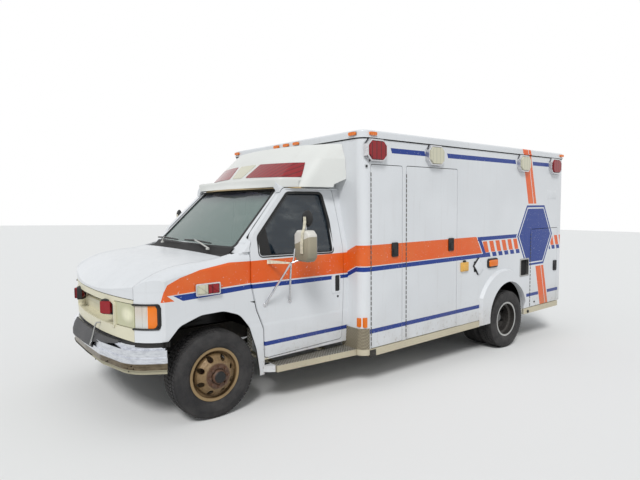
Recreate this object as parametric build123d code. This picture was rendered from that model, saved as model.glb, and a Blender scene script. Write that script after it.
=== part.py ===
from build123d import *
import os

# Box-bodied ambulance on a cutaway van chassis with twin rear wheels.
# Millimetres. +X is forward, +Y is the left side, +Z is up. Body pieces are drawn level, with
# x = 0 and z = 0 on the ground under the front axle, and are then tipped nose-down by RAKE about
# that point, as the vehicle stands. Wheels and knuckles are drawn on the ground itself.

RAKE = 1.48                 # degrees, nose down
WHEELBASE = 4013
HALF = 0.5

# Tyres and wheels
TYRE_RADIUS = 368
TYRE_HALF_WIDTH = 112
BEAD_RADIUS = 204
RIM_RADIUS = 221
RIM_HALF_WIDTH = 89
FRONT_TYRE_Y = 877
CAMBER = 0.4                 # degrees, the tops of the front wheels lean outwards
REAR_OUTER_Y = 1119
REAR_INNER_Y = 859
DISC_OFFSET = 130           # from a rim's middle to its mounting face
HAND_HOLES = 8
HAND_HOLE_RADIUS = 24
HAND_HOLE_CIRCLE = 146

# Steering and axles
KINGPIN_Y = 752
KINGPIN_RADIUS = 17
RUNNING_GAP = 0.3
SPINDLE_RADIUS = 24
REAR_SPINDLE_RADIUS = 38

# Cab
CAB_REAR = -1444
CAB_BOTTOM = 400
CAB_FLOOR = 690
CAB_ROOF = 1985
WALL = 60                   # cab door and side wall
GLASS = 6
SEAM = 3                    # from a shut line to the moving panel
REVEAL = 4                  # from a shut line to the fixed frame
COWL_X = -215
COWL_Z = 1352

# Front clip
CLIP_WALL = 22
HEADER_HALF = 850
NOSE_X = 690
FENDER_FRONT_Z = 722

# Ladder frame
RAIL_OUTER = 432
RAIL_WIDTH = 64
RAIL_BOTTOM = 470
RAIL_HIGH = 650
RAIL_SHEET = 8

# Module
BOX_FRONT = -1444
BOX_REAR = -5480
BOX_HALF = 1219
BOX_WALL = 40
BOX_CORNER = 90
SKIRT_Z = 345
RAIL_Z = 267
ROOF_Z = 2391
BOX_TOP = 2463
FLOOR_Z = 740
FLOOR_THICK = 40
LOCKER_DEPTH = 480
LOCKER_PLATE = 15
REAR_ARCH_X = -3993
REAR_ARCH_Z = 335
REAR_ARCH_RADIUS = 428

# Outside doors of the module: hinge edge x, free edge x, bottom z, top z
LEFT_DOORS = {
    "locker_door_left_front": (-1557, -2005, 345, 2138),
    "locker_door_left_middle": (-2066, -2930, 345, 2142),
    "locker_door_left_rear": (-4580, -5321, 345, 1405),
}
RIGHT_DOORS = {
    "entry_door": (-2066, -2930, 345, 2142),
    "locker_door_right_rear": (-4580, -5321, 345, 1405),
}
REAR_DOOR_HALF = 640
REAR_DOOR_BOTTOM = 690
REAR_DOOR_TOP = 2150
REAR_MEETING = 5            # half the gap between the two rear doors

RAKED = Rot(0, RAKE, 0)
PARTS = {}


def flat(points, corners=None):
    """A closed outline of straight runs. corners maps a point's index to its radius."""
    face = make_face(Polyline(*points, close=True))
    for index, radius in (corners or {}).items():
        corner = face.vertices().sort_by_distance(Vector(*points[index]))[0]
        face = fillet(corner, radius)
    return face


def rounded(u0, u1, v0, v1, radius):
    """A rectangle with round corners."""
    centre = Pos((u0 + u1) * HALF, (v0 + v1) * HALF)
    return centre * RectangleRounded(abs(u1 - u0), abs(v1 - v0), radius)


def along_x(face, x0, x1):
    """A face drawn as (y, z), drawn out between two x."""
    return extrude(Plane((x0, 0, 0), x_dir=(0, 1, 0), z_dir=(1, 0, 0)) * face, x1 - x0)


def along_y(face, y0, y1):
    """A face drawn as (x, z), drawn out between two y."""
    return extrude(Plane((0, y1, 0), x_dir=(1, 0, 0), z_dir=(0, -1, 0)) * face, y1 - y0)


def along_z(face, z0, z1):
    """A face drawn as (x, y), drawn out between two z."""
    return Pos(0, 0, z0) * extrude(face, z1 - z0)


def block(x0, x1, y0, y1, z0, z1):
    """A box between two corners."""
    centre = Pos((x0 + x1) * HALF, (y0 + y1) * HALF, (z0 + z1) * HALF)
    return centre * Box(abs(x1 - x0), abs(y1 - y0), abs(z1 - z0))


def across(shape):
    """The same shape on the other side of the vehicle."""
    return mirror(shape, Plane.XZ)


def rod(start, end, radius):
    """A round bar between two points."""
    line = Line(start, end)
    return sweep(Plane(origin=start, z_dir=line % 0) * Circle(radius), path=line)


def turned_y(points, x, y, z, outward=1):
    """A profile of (radius, y) turned about the y direction through (x, y, z)."""
    profile = make_face(Polyline(*points, close=True))
    spun = revolve(Plane.XY * profile, Axis.Y, 360)
    if outward < 0:
        spun = mirror(spun, Plane.XZ)
    return Pos(x, y, z) * spun


def whole(shape):
    """The piece itself, without the slivers that a cut along a curved seam leaves."""
    return shape.solids().sort_by(SortBy.VOLUME)[-1]


def keep(name, *shapes, level=True):
    """Store a node. level shapes are tipped with the body."""
    solids = []
    for shape in shapes:
        placed = RAKED * shape if level else shape
        solids.extend(placed.solids())
    PARTS[name] = solids


# Cab envelope: a side section drawn out lengthwise and cut by the slanted windshield

SIDE_LOW = (985, CAB_BOTTOM)
SIDE_SWELL = (1006, 800)
SIDE_BELT = (1005, 1190)
SIDE_SHOULDER = (989, 1368)
SIDE_TOP = (848, 1915)
ROOF_SHOULDER = (800, 1965)
ROOF_EDGE = (700, CAB_ROOF)


def cab_section(inset):
    """The cab's cross-section, as (y, z), pulled in by a wall."""
    low, swell, belt = SIDE_LOW, SIDE_SWELL, SIDE_BELT
    right = [
        ThreePointArc(low, swell, belt),
        ThreePointArc(belt, (1002, 1290), SIDE_SHOULDER),
        Line(SIDE_SHOULDER, SIDE_TOP),
        ThreePointArc(SIDE_TOP, ROOF_SHOULDER, ROOF_EDGE),
    ]
    left = [mirror(edge, Plane.YZ) for edge in right]
    roof = Line(ROOF_EDGE, (-ROOF_EDGE[0], ROOF_EDGE[1]))
    floor = Line(low, (-low[0], low[1]))
    face = make_face(right + left + [roof, floor])
    return offset(face, -inset) if inset else face


WINDSHIELD_RUN = -558       # along x, bottom to top
WINDSHIELD_RISE = 550
WINDSHIELD_BOTTOM_Z = COWL_Z
GLASS_CENTRE_X = -178       # the glass stands forward in the middle
GLASS_SIDE_X = -250
GLASS_SIDE_Y = 852


def behind_windshield(inset):
    """Everything behind the windshield's outer face, pulled back by a wall measured along x."""
    side = 1100
    drop = (GLASS_SIDE_X - GLASS_CENTRE_X) * (side / GLASS_SIDE_Y) ** 2
    bow = ThreePointArc(
        (GLASS_CENTRE_X + drop - inset, -side),
        (GLASS_CENTRE_X - inset, 0),
        (GLASS_CENTRE_X + drop - inset, side),
    )
    back = Polyline(bow @ 1, (CAB_REAR, side), (CAB_REAR, -side), bow @ 0)
    face = make_face([bow] + list(back.edges()))
    lift = (CAB_ROOF + 60 - WINDSHIELD_BOTTOM_Z) / WINDSHIELD_RISE
    slant = Vector(WINDSHIELD_RUN, 0, WINDSHIELD_RISE) * lift
    leaned = extrude(Pos(0, 0, WINDSHIELD_BOTTOM_Z) * face, slant.length, dir=slant.normalized())
    fill_rear = CAB_REAR + WINDSHIELD_RUN * lift
    rear_fill = block(fill_rear, CAB_REAR + 700, -side, side, WINDSHIELD_BOTTOM_Z, 2100)
    return leaned + rear_fill


FIREWALL = [
    (CAB_REAR, CAB_BOTTOM), (CAB_REAR, COWL_Z), (COWL_X - 40, COWL_Z), (COWL_X - 40, 1150),
    (-330, 900), (-452, 760), (-452, CAB_BOTTOM),
]
FIREWALL_INSIDE = [
    (CAB_REAR - 1, CAB_FLOOR), (CAB_REAR - 1, COWL_Z + 1), (COWL_X - 85, COWL_Z + 1), (COWL_X - 85, 1162),
    (-362, 915), (-480, 790), (-500, CAB_FLOOR),
]


def cab_envelope(inset, lower):
    """The cab as one solid, its wall taken off, above a lower outline given as (x, z)."""
    section = along_x(cab_section(inset), CAB_REAR - (1 if inset else 0), 0)
    upper = section & behind_windshield(inset * 1.3)
    return (section & along_y(flat(lower), -1100, 1100)) + upper


DOOR_OUTLINE = [
    (-347, 1388), (-343, 1100), (-400, 850), (-470, 680), (-484, 413),
    (-1372, 434), (-1388, 1120), (-1388, 1560), (-1372, 1915),
    (-790, 1915), (-723, 1845), (-396, 1510),
]
DOOR_CORNERS = {0: 60, 1: 150, 2: 200, 3: 90, 4: 20, 5: 30, 7: 300, 8: 40, 9: 60, 11: 120}
WINDOW_OUTLINE = [
    (-440, 1318), (-1258, 1304), (-1262, 1600), (-1225, 1866), (-828, 1866), (-446, 1480),
]
WINDOW_CORNERS = {0: 30, 1: 25, 3: 40, 4: 60, 5: 60}

cab_outer = cab_envelope(0, FIREWALL)
cab_inner = cab_envelope(WALL, FIREWALL_INSIDE)
door_face = flat(DOOR_OUTLINE, DOOR_CORNERS)
window_face = flat(WINDOW_OUTLINE, WINDOW_CORNERS)

# Windshield opening, seen square to the glass
glass_plane = Plane(
    origin=(-520, 0, 1645), x_dir=(0, 1, 0),
    z_dir=(WINDSHIELD_RISE, 0, -WINDSHIELD_RUN),
)
WINDSHIELD_OUTLINE = [(-838, -378), (838, -378), (738, 385), (-738, 385)]
windshield_face = flat(WINDSHIELD_OUTLINE, {0: 60, 1: 60, 2: 70, 3: 70})
windshield_hole = extrude(glass_plane * windshield_face, 200, both=True)

FLOOR_SHEET = 38
SILL_IN = 890
DOOR_INSIDE = 918           # behind the door's inner face, below the belt
UNDERFLOOR = block(CAB_REAR - 5, -440, -SILL_IN, SILL_IN, CAB_BOTTOM - 5, CAB_FLOOR - FLOOR_SHEET)
fender_seat = block(-520, 0, 970, 1100, CAB_BOTTOM - 5, COWL_Z + 10)
door_opening = offset(door_face, REVEAL)
door_hole = along_y(door_opening, DOOR_INSIDE, 1100)
upper_side = block(CAB_REAR, 0, 0, 1100, 1250, CAB_ROOF)
door_hole = door_hole + (along_y(door_opening, 700, 1100) & upper_side)
guard_seat = block(CAB_REAR - 5, CAB_REAR + 8, 900, 1100, CAB_BOTTOM - 5, 560)
cab_shell = cab_outer - cab_inner - UNDERFLOOR - windshield_hole
cab_shell = cab_shell - door_hole - across(door_hole) - fender_seat - across(fender_seat)
cab_shell = cab_shell - guard_seat - across(guard_seat)

# The engine reaches through the firewall under a cover in the cab
ENGINE = (-560, 330, -270, 270, 492, 1000)
TUNNEL = block(-800, 0, -320, 320, CAB_BOTTOM, 1060)
cab_shell = whole(cab_shell - TUNNEL)
keep("cab_shell", cab_shell)

skin = along_x(cab_section(0), CAB_REAR, 0) - along_x(cab_section(WALL), CAB_REAR - 1, 1)
door_panel = skin & along_y(offset(door_face, -SEAM), 700, 1100)
door_panel = door_panel - along_y(window_face, 700, 1100)
door_panel = door_panel - block(CAB_REAR, 0, 0, DOOR_INSIDE + REVEAL, 0, 1255)
PANE_IN = 18                # from the door's skin to its glass
pane_outer = along_x(cab_section(PANE_IN), CAB_REAR, 0)
pane_inner = along_x(cab_section(PANE_IN + GLASS), CAB_REAR - 1, 1)
pane = (pane_outer - pane_inner) & along_y(window_face, 700, 1100)
keep("cab_door_left", door_panel)
keep("cab_door_right", across(door_panel))
keep("cab_glass_left", pane)
keep("cab_glass_right", across(pane))

glass_shell = behind_windshield(10) - behind_windshield(10 + GLASS * 1.4)
windshield = glass_shell & windshield_hole & along_x(cab_section(20), CAB_REAR, 0)
keep("windshield", whole(windshield))

# Front clip: hood, fenders and nose cut from one envelope lofted through sections
# columns: x, side y, shoulder start z, shoulder end y, shoulder end z, crown z
CLIP_SECTIONS = [
    (-520, 990, 1290, 900, 1350, 1362),
    (-100, 1002, 1258, 905, 1326, 1338),
    (200, 1006, 1228, 905, 1290, 1304),
    (440, 1006, 1170, 895, 1236, 1250),
    (600, 1004, 1078, 880, 1140, 1158),
    (705, 996, 985, 850, 1040, 1054),
]
CLIP_BOTTOM = 262


def clip_section(x, side, start, end_y, end_z, crown, inset):
    """One cross-section of the clip, from its row above."""
    side, end_y = side - inset, end_y - inset * HALF
    start, end_z, crown = start - inset * HALF, end_z - inset, crown - inset
    low = (side - 22, CLIP_BOTTOM)
    bend = 0.293
    knee = (side - bend * (side - end_y), end_z - bend * (end_z - start))
    right = [
        Line(low, (side, 760)),
        Line((side, 760), (side, start)),
        ThreePointArc((side, start), knee, (end_y, end_z)),
    ]
    left = [mirror(edge, Plane.YZ) for edge in right]
    crown_arc = ThreePointArc((end_y, end_z), (0, crown), (-end_y, end_z))
    floor = Line(low, (-low[0], low[1]))
    face = make_face(right + left + [crown_arc, floor])
    return Plane((x, 0, 0), x_dir=(0, 1, 0), z_dir=(1, 0, 0)) * face


def clip_plan(inset):
    """The front corners, seen from above, where the lamps wrap round."""
    front = NOSE_X - inset
    side = 1015 - inset
    meeting = (597 - inset, 850 - inset * HALF)
    corner = ThreePointArc((380, side), (508 - inset * HALF, 955 - inset), meeting)
    face_arc = ThreePointArc(meeting, (664 - inset, 480), (front, 0))
    left = [corner, face_arc]
    right = [mirror(edge, Plane.XZ) for edge in left]
    back = Polyline((380, side), (-600, side), (-600, -side), (380, -side))
    return make_face(left + right + list(back.edges()))


def clip_envelope(inset):
    """The clip as one solid, pulled in by a wall."""
    lofted = loft([clip_section(*row, inset) for row in CLIP_SECTIONS])
    return lofted & along_z(clip_plan(inset), CLIP_BOTTOM - 50, 1500)


clip = clip_envelope(0) - clip_envelope(CLIP_WALL)

# The hood's edge seen from above, and the height at which it meets the header
HOOD_REAR = -118
HOOD_EDGE = [(HOOD_REAR, 878), (480, 872), (575, HEADER_HALF), (760, HEADER_HALF)]
HOOD_LIP_Z = 1046
HOOD_ABOVE = 1500


def hood_zone(shift):
    """Everything above the hood's shut line, the line moved outwards by a distance."""
    left = [(x, y + shift) for x, y in HOOD_EDGE]
    right = [(x, -y) for x, y in reversed(left)]
    return along_z(flat(left + right), HOOD_LIP_Z - shift, HOOD_ABOVE)


hood = clip & hood_zone(-SEAM)
keep("hood", whole(hood))

lower_clip = clip - hood_zone(REVEAL)
header_zone = block(430, 760, -HEADER_HALF + 1.5, HEADER_HALF - 1.5, FENDER_FRONT_Z, 1200)
nose_panel = lower_clip & header_zone
RECESS = rounded(-555, 555, 808, 985, 30)
LAMP_OPENING = [(560, 818), (HEADER_HALF + 20, 824), (HEADER_HALF + 20, 1016), (560, 1012)]
lamp_hole = along_x(flat(LAMP_OPENING, {0: 12, 3: 12}), 300, 800)
nose_panel = nose_panel - along_x(RECESS, 500, 800) - lamp_hole - across(lamp_hole)
recess_back = along_x(rounded(-575, 575, 790, 1003, 30), 590, 596) - lamp_hole - across(lamp_hole)
recess_rim = along_x(rounded(-575, 575, 790, 1003, 30) - rounded(-557, 557, 806, 987, 24), 594, 662)
nose_panel = nose_panel + recess_rim + recess_back

# Fenders stop at the shut lines, the wheel arch and the door
fender_zone = block(-600, 760, 620, 1100, 250, 1400) - block(430, 760, 0, HEADER_HALF + 1.5, 250, 1200)
fender = lower_clip & fender_zone
FRONT_ARCH = [
    (395, 200), (395, FENDER_FRONT_Z), (300, 826), (120, 888), (-80, 892), (-232, 838),
    (-330, 716), (-405, 500), (-440, 300), (-440, 200),
]
ARCH_CORNERS = {2: 120, 3: 200, 4: 200, 5: 150, 6: 150, 7: 200}
arch_hole = along_y(flat(FRONT_ARCH, ARCH_CORNERS), 600, 1100)
front_foot = block(380, 760, 600, 1100, 200, FENDER_FRONT_Z)
side_lamp_hole = block(455, 800, HEADER_HALF - 20, 1100, 824, 1016)
door_relief = along_y(offset(door_face, REVEAL), 700, 1100)
behind_door = block(-700, -484, 600, 1100, 200, 1400)
fender = fender - arch_hole - front_foot - side_lamp_hole - door_relief - behind_door
fender = fender - (along_x(cab_section(WALL), -700, -200) & block(-700, -200, 0, 968, 200, 1400))
wheel_house = block(-318, 400, 560, 985, 912, 926) + block(-318, 400, 560, 574, 700, 920)
fender = fender - block(-600, HOOD_REAR + 2, 0, 896, 1100, 1500)
fender = fender + (wheel_house & clip_envelope(4))
# The cap that closes the running board's front end, seen from above
BOARD_FRONT = -563
CAP_PLAN = [(BOARD_FRONT + 3, 928), (BOARD_FRONT + 3, 1056), (-500, 1012), (-470, 984), (-470, 928)]
fender = fender + along_z(flat(CAP_PLAN, {1: 14, 2: 30}), 290, 345)
fender = whole(fender - door_relief - cab_shell)
keep("front_fenders", fender, across(fender))


# Lamps in the nose: headlamp inside the seam, turn lamp outside it, wrapped round the corner
LAMP_DEPTH = 46
LAMP_RECESS = 5
lamp_band = clip_envelope(LAMP_RECESS) - clip_envelope(LAMP_DEPTH)
LAMP_LENS = [
    (566, 824), (HEADER_HALF + 110, 830), (HEADER_HALF + 135, 850),
    (HEADER_HALF + 135, 990), (HEADER_HALF + 110, 1010), (566, 1006),
]
TURN_SPLIT = 905            # y where the turn lamp's clear part ends and its amber part begins
lens = lamp_band & along_x(flat(LAMP_LENS), 462, 800)
headlamp = whole(lens & block(400, 800, 0, HEADER_HALF - 4, 700, 1100))
turn_clear = whole(lens & block(400, 800, HEADER_HALF + 4, TURN_SPLIT - 1, 700, 1100))
turn_lamp = whole(lens & block(400, 800, TURN_SPLIT + 1, 1100, 700, 1100))

# Square lamps in the grille's opening, turned outwards
GRILLE_LAMP = (672, 450, 945)
GRILLE_LAMP_TURN = 32
grille_lamp = along_x(rounded(-50, 50, -50, 50, 14), -34, 30)
grille_lamp = Pos(*GRILLE_LAMP) * Rot(0, 0, GRILLE_LAMP_TURN) * grille_lamp
nose_panel = nose_panel - headlamp - across(headlamp) - grille_lamp - across(grille_lamp)
keep("nose_panel", whole(nose_panel))

# Front bumper: a bent channel in three faces, as (x, z) section offsets swept round the corners
BUMPER_PLAN = [(430, 1012), (655, 862), (742, 420), (752, 0)]


def bumper_plan(inset):
    """The bumper's outer line from above, pulled in by a distance."""
    left = [(x - inset, y - inset * HALF) for x, y in BUMPER_PLAN]
    right = [(x, -y) for x, y in reversed(left[:-1])]
    points = left + right
    return flat(points + [(300, points[-1][1]), (300, points[0][1])], {1: 300, 2: 240, 4: 240, 5: 300})


# columns: inset of the face, low z, high z
BUMPER_BANDS = [(22, 474, 505), (8, 505, 560), (0, 560, 604), (12, 604, 660), (46, 660, 692)]
BUMPER_WALL = 46
bumper_bands = []
for inset, low, high in BUMPER_BANDS:
    hollow = along_z(bumper_plan(inset + BUMPER_WALL), low - 1, high + 1)
    bumper_bands.append(along_z(bumper_plan(inset), low, high) - hollow)
front_bumper = bumper_bands[0] + bumper_bands[1:]
front_bumper = front_bumper - block(0, 408, -1100, 1100, 400, 800)
bumper_arm = block(470, 715, RAIL_OUTER + 1, RAIL_OUTER + 29, 520, 600)
front_bumper = front_bumper + bumper_arm + across(bumper_arm)
keep("front_bumper", whole(front_bumper))

# Cowl from the hood's rear edge up to the windshield
COWL_LIP_Z = 1388
LIP_DROP = 24
cowl_zone = along_z(clip_plan(70), 1200, 1500) & block(COWL_X - 38, HOOD_REAR - 8, -890, 890, 1240, 1500)
cowl_top = loft([clip_section(*row, 14) for row in CLIP_SECTIONS])
cowl_under = loft([clip_section(*row, 40) for row in CLIP_SECTIONS])
cowl = (cowl_top - cowl_under) & cowl_zone
cowl_lip = behind_windshield(-24) - behind_windshield(-6)
lip_slide = Pos(-LIP_DROP * WINDSHIELD_RUN / WINDSHIELD_RISE, 0, -LIP_DROP)
cowl_lip = (cowl_lip + lip_slide * cowl_lip) & block(-420, HOOD_REAR - 8, -846, 846, 1300, COWL_LIP_Z)
cowl = cowl - behind_windshield(-6) + cowl_lip
keep("cowl", whole(cowl))

# Roof fairing over the cab: one plane leaning back, round at its corners, with three lenses in it
# columns: z, front x at the middle, corner x, corner y, shoulder x, shoulder y, rear half width
FAIRING_FOOT = 1924
FAIRING_TOP = 2350
FAIRING_ROWS = [
    (FAIRING_FOOT, -677, -784, 700, -945, 930, 1000),
    (2200, -960, -1062, 685, -1155, 900, 982),
    (FAIRING_TOP, -1115, -1204, 640, -1330, 850, 930),
]


def fairing_plan(z, middle, corner_x, corner_y, side_x, side_y, rear_y, inset=0):
    """The fairing seen from above at one height, pulled in by a distance."""
    middle, corner_x, side_x = middle - inset, corner_x - inset, side_x - inset * HALF
    corner_y, side_y, rear_y = corner_y - inset * HALF, side_y - inset, rear_y - inset
    brow = ThreePointArc((corner_x, corner_y), (middle, 0), (corner_x, -corner_y))
    left = Polyline((corner_x, corner_y), (side_x, side_y), (CAB_REAR + 2, rear_y))
    right = Polyline((corner_x, -corner_y), (side_x, -side_y), (CAB_REAR + 2, -rear_y))
    back = Line((CAB_REAR + 2, rear_y), (CAB_REAR + 2, -rear_y))
    face = make_face([brow] + list(left.edges()) + list(right.edges()) + [back])
    face = fillet(face.vertices().filter_by(lambda v: abs(v.X - corner_x) < 1), 90)
    face = fillet(face.vertices().filter_by(lambda v: abs(v.X - side_x) < 1), 200)
    return Pos(0, 0, z) * face


fairing_low = loft([fairing_plan(*FAIRING_ROWS[0]), fairing_plan(*FAIRING_ROWS[1])])
fairing_high = loft([fairing_plan(*FAIRING_ROWS[1]), fairing_plan(*FAIRING_ROWS[2])])
fairing = fairing_low + fairing_high
REAR_LIFT = [
    (-1288, FAIRING_FOOT - 1), (-1302, 1952), (CAB_REAR, 2008), (CAB_REAR, FAIRING_FOOT - 1),
]
rear_lift = along_y(flat(REAR_LIFT), -1100, 1100)
roof_clear = cab_envelope(-6, FIREWALL)

# Lens outlines in the brow, as (y, z), and the side outline that ends the corner lenses, as (x, z)
LENS_PROUD = 5
LENS_DEPTH = 22
MIDDLE_LENS = [(-94, 2037), (94, 2037), (157, 2177), (-157, 2177)]
CORNER_LENS = [(164, 2037), (700, 2024), (1100, 2002), (1100, 2150), (700, 2166), (226, 2177)]
CORNER_LENS_SIDE = [(-600, 1990), (-968, 1990), (-1096, 2190), (-600, 2190)]


def brow_band(outer, inner):
    """The skin of the brow between two insets."""
    outside = loft([fairing_plan(*row, inset=outer) for row in FAIRING_ROWS[:2]])
    inside = loft([fairing_plan(*row, inset=inner) for row in FAIRING_ROWS[:2]])
    return outside - inside


brow = brow_band(-LENS_PROUD, LENS_DEPTH)
middle_lens = whole(brow & along_x(flat(MIDDLE_LENS, {0: 14, 1: 14, 2: 14, 3: 14}), -1300, -500))
corner_side = along_y(flat(CORNER_LENS_SIDE), 0, 1200)
corner_lens = brow & along_x(flat(CORNER_LENS, {0: 14, 5: 14}), -1400, -500)
corner_lens = whole(corner_lens & corner_side)
fairing = fairing - rear_lift - roof_clear
for lens_piece in (middle_lens, corner_lens, across(corner_lens)):
    fairing = fairing - lens_piece
keep("roof_fairing", whole(fairing))


# Module walls


def module_plan(extra=0):
    """The box seen from above, with its four round corners."""
    side = BOX_HALF + extra
    return rounded(BOX_REAR - extra, BOX_FRONT + extra, -side, side, BOX_CORNER + extra)


def wall_ring(low, high):
    """All four walls between two heights."""
    return along_z(module_plan() - module_plan(-BOX_WALL), low, high)


SPLIT_Y = BOX_HALF - BOX_CORNER
DOOR_ROUND = 22
HINGE_OUT = 2               # the piano hinge's axis stands this far outside the wall
HINGE_RADIUS = 5


def side_face(hinge_x, free_x, low, high, grow):
    """A side door's outline, as (x, z), grown by a distance."""
    return rounded(free_x - grow, hinge_x + grow, low - grow, high + grow, DOOR_ROUND + grow)


def arch_face(radius):
    """The rear wheel's opening in the side wall, as (x, z)."""
    circle = Pos(REAR_ARCH_X, REAR_ARCH_Z) * Circle(radius)
    return circle + Pos(REAR_ARCH_X, REAR_ARCH_Z - radius * HALF) * Rectangle(2 * radius, radius)


ring = wall_ring(SKIRT_Z, ROOF_Z)
left_wall = ring & block(BOX_REAR - 1, BOX_FRONT + 1, SPLIT_Y, BOX_HALF + 1, RAIL_Z, BOX_TOP)
right_wall = across(left_wall)
for row in LEFT_DOORS.values():
    left_wall = left_wall - along_y(side_face(*row, REVEAL), BOX_HALF - BOX_WALL - 60, BOX_HALF + 10)
for row in RIGHT_DOORS.values():
    right_wall = right_wall - along_y(side_face(*row, REVEAL), -BOX_HALF - 10, -BOX_HALF + BOX_WALL + 60)
arch_cut = along_y(arch_face(REAR_ARCH_RADIUS), SPLIT_Y - 1, BOX_HALF + 1)
FILLER = (-4529, -4323, 794, 1011)
filler_cut = along_y(rounded(*FILLER, 24), BOX_HALF - 32, BOX_HALF + 1)
left_wall = left_wall - arch_cut - filler_cut
right_wall = right_wall - across(arch_cut)
keep("side_walls", whole(left_wall), whole(right_wall))

FLOOR_LOW = FLOOR_Z - FLOOR_THICK
REAR_SKIRT_Z = 566
WALK_THROUGH = (-330, 330, FLOOR_Z, 1820)
front_wall = ring & block(BOX_FRONT - BOX_CORNER, BOX_FRONT + 1, -SPLIT_Y, SPLIT_Y, RAIL_Z, BOX_TOP)
front_wall = front_wall - along_x(rounded(*WALK_THROUGH, 60), BOX_FRONT - 100, BOX_FRONT + 1)
front_wall = front_wall - block(BOX_FRONT - 100, BOX_FRONT + 1, -905, 905, SKIRT_Z - 1, FLOOR_LOW)
rear_wall = ring & block(BOX_REAR - 1, BOX_REAR + BOX_CORNER, -SPLIT_Y, SPLIT_Y, RAIL_Z, BOX_TOP)
rear_span = REAR_DOOR_HALF + REVEAL
rear_face = rounded(-rear_span, rear_span, REAR_DOOR_BOTTOM - REVEAL, REAR_DOOR_TOP + REVEAL, DOOR_ROUND)
rear_wall = rear_wall - along_x(rear_face, BOX_REAR - 1, BOX_REAR + 100)
rear_wall = rear_wall - block(BOX_REAR - 1, BOX_REAR + 100, -850, 850, SKIRT_Z - 1, REAR_SKIRT_Z)
keep("end_walls", whole(front_wall), whole(rear_wall))

roof = along_z(module_plan(6), ROOF_Z, BOX_TOP)
roof = fillet(roof.edges().filter_by_position(Axis.Z, BOX_TOP - 1, BOX_TOP + 1), 20)
roof = roof - along_z(module_plan(-BOX_WALL), ROOF_Z - 1, BOX_TOP - 30)
keep("module_roof", roof)

# Floor with the rear wheel housings, an entry step well and cross sills
WELL_WALL = 18
WELL_TOP = 800
WELL_IN = 705
WELL_FRONT = REAR_ARCH_X + REAR_ARCH_RADIUS + WELL_WALL
WELL_REAR = REAR_ARCH_X - REAR_ARCH_RADIUS - WELL_WALL
INSIDE = BOX_HALF - BOX_WALL
LOCKER_IN = BOX_HALF - LOCKER_DEPTH
DOOR_CLEAR = 8
floor = along_z(module_plan(-BOX_WALL), FLOOR_LOW, FLOOR_Z)
rear_gap_x = BOX_REAR + BOX_WALL + DOOR_CLEAR
rear_gap_y = REAR_DOOR_HALF + 20
floor = floor - block(BOX_REAR, rear_gap_x, -rear_gap_y, rear_gap_y, FLOOR_LOW - 1, FLOOR_Z + 1)
well = block(WELL_REAR, WELL_FRONT, WELL_IN, INSIDE, SKIRT_Z, WELL_TOP)
well_inside = block(
    WELL_REAR + WELL_WALL, WELL_FRONT - WELL_WALL, WELL_IN + WELL_WALL, INSIDE + 1,
    SKIRT_Z - 1, WELL_TOP - WELL_WALL,
)
floor = floor + well + across(well)
STEP_WELL_IN = 880
LOCKER_FRONT = LEFT_DOORS["locker_door_left_front"][0] + 20
LOCKER_REAR = LEFT_DOORS["locker_door_left_middle"][1] - 20
REAR_LOCKER_FRONT = LEFT_DOORS["locker_door_left_rear"][0] + 20
REAR_LOCKER_REAR = LEFT_DOORS["locker_door_left_rear"][1] - 20
step_front = RIGHT_DOORS["entry_door"][0] + 12
step_rear = RIGHT_DOORS["entry_door"][1] - 12
step_gap = block(step_rear, step_front, -INSIDE - 1, -STEP_WELL_IN, FLOOR_LOW - 1, FLOOR_Z + 1)
step_box = block(step_rear - 12, step_front + 12, -INSIDE, -STEP_WELL_IN + 12, SKIRT_Z, FLOOR_LOW + 1)
step_inside = block(step_rear, step_front, -INSIDE - 1, -STEP_WELL_IN, SKIRT_Z + 15, FLOOR_Z + 1)
floor = floor - well_inside - across(well_inside)
front_lockers = block(LOCKER_REAR, LOCKER_FRONT, LOCKER_IN, INSIDE + 1, SKIRT_Z - 20, BOX_TOP)
rear_locker = block(REAR_LOCKER_REAR, REAR_LOCKER_FRONT, LOCKER_IN, INSIDE + 1, SKIRT_Z - 20, BOX_TOP)
floor = floor - front_lockers - rear_locker - across(rear_locker)
step_lip = block(step_rear, step_front, -INSIDE - 1, -INSIDE + DOOR_CLEAR, SKIRT_Z - 1, FLOOR_Z + 1)
floor = (floor - step_gap) + (step_box - step_inside - step_lip)
SILL_X = [-1560, -2250, -2990, -3480, -4500, -5300]
SILL_HALF_WIDTH = 35
SILL_HALF_LENGTH = WELL_IN - 5
SILL_Z = 651
for sill_x in SILL_X:
    sill_rear, sill_front = sill_x - SILL_HALF_WIDTH, sill_x + SILL_HALF_WIDTH
    floor = floor + block(sill_rear, sill_front, -SILL_HALF_LENGTH, SILL_HALF_LENGTH, SILL_Z, FLOOR_LOW)

# Covering on the aisle, a little proud of the bare floor beside it
COVERING = 3
AISLE = (-5400, -1500, -640, 680)
floor = floor + block(*AISLE, FLOOR_Z, FLOOR_Z + COVERING)
keep("module_floor", whole(floor))


def locker(front, rear, low, high, shelf_z, dividers=()):
    """An open-fronted compartment of sheet, as deep as the wall allows."""
    shell = block(rear, front, LOCKER_IN, INSIDE, low, high)
    inner = LOCKER_IN + LOCKER_PLATE
    edges = [front - LOCKER_PLATE, *dividers, rear + LOCKER_PLATE]
    for index in range(len(edges) - 1):
        start = edges[index] if index == 0 else edges[index] - LOCKER_PLATE * HALF
        end = edges[index + 1] if index == len(edges) - 2 else edges[index + 1] + LOCKER_PLATE * HALF
        shell = shell - block(end, start, inner, INSIDE + 1, low + LOCKER_PLATE, high - LOCKER_PLATE)
    for z in shelf_z:
        shell = shell + block(edges[-1], edges[0], inner, INSIDE - 40, z, z + LOCKER_PLATE)
    return shell


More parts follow.
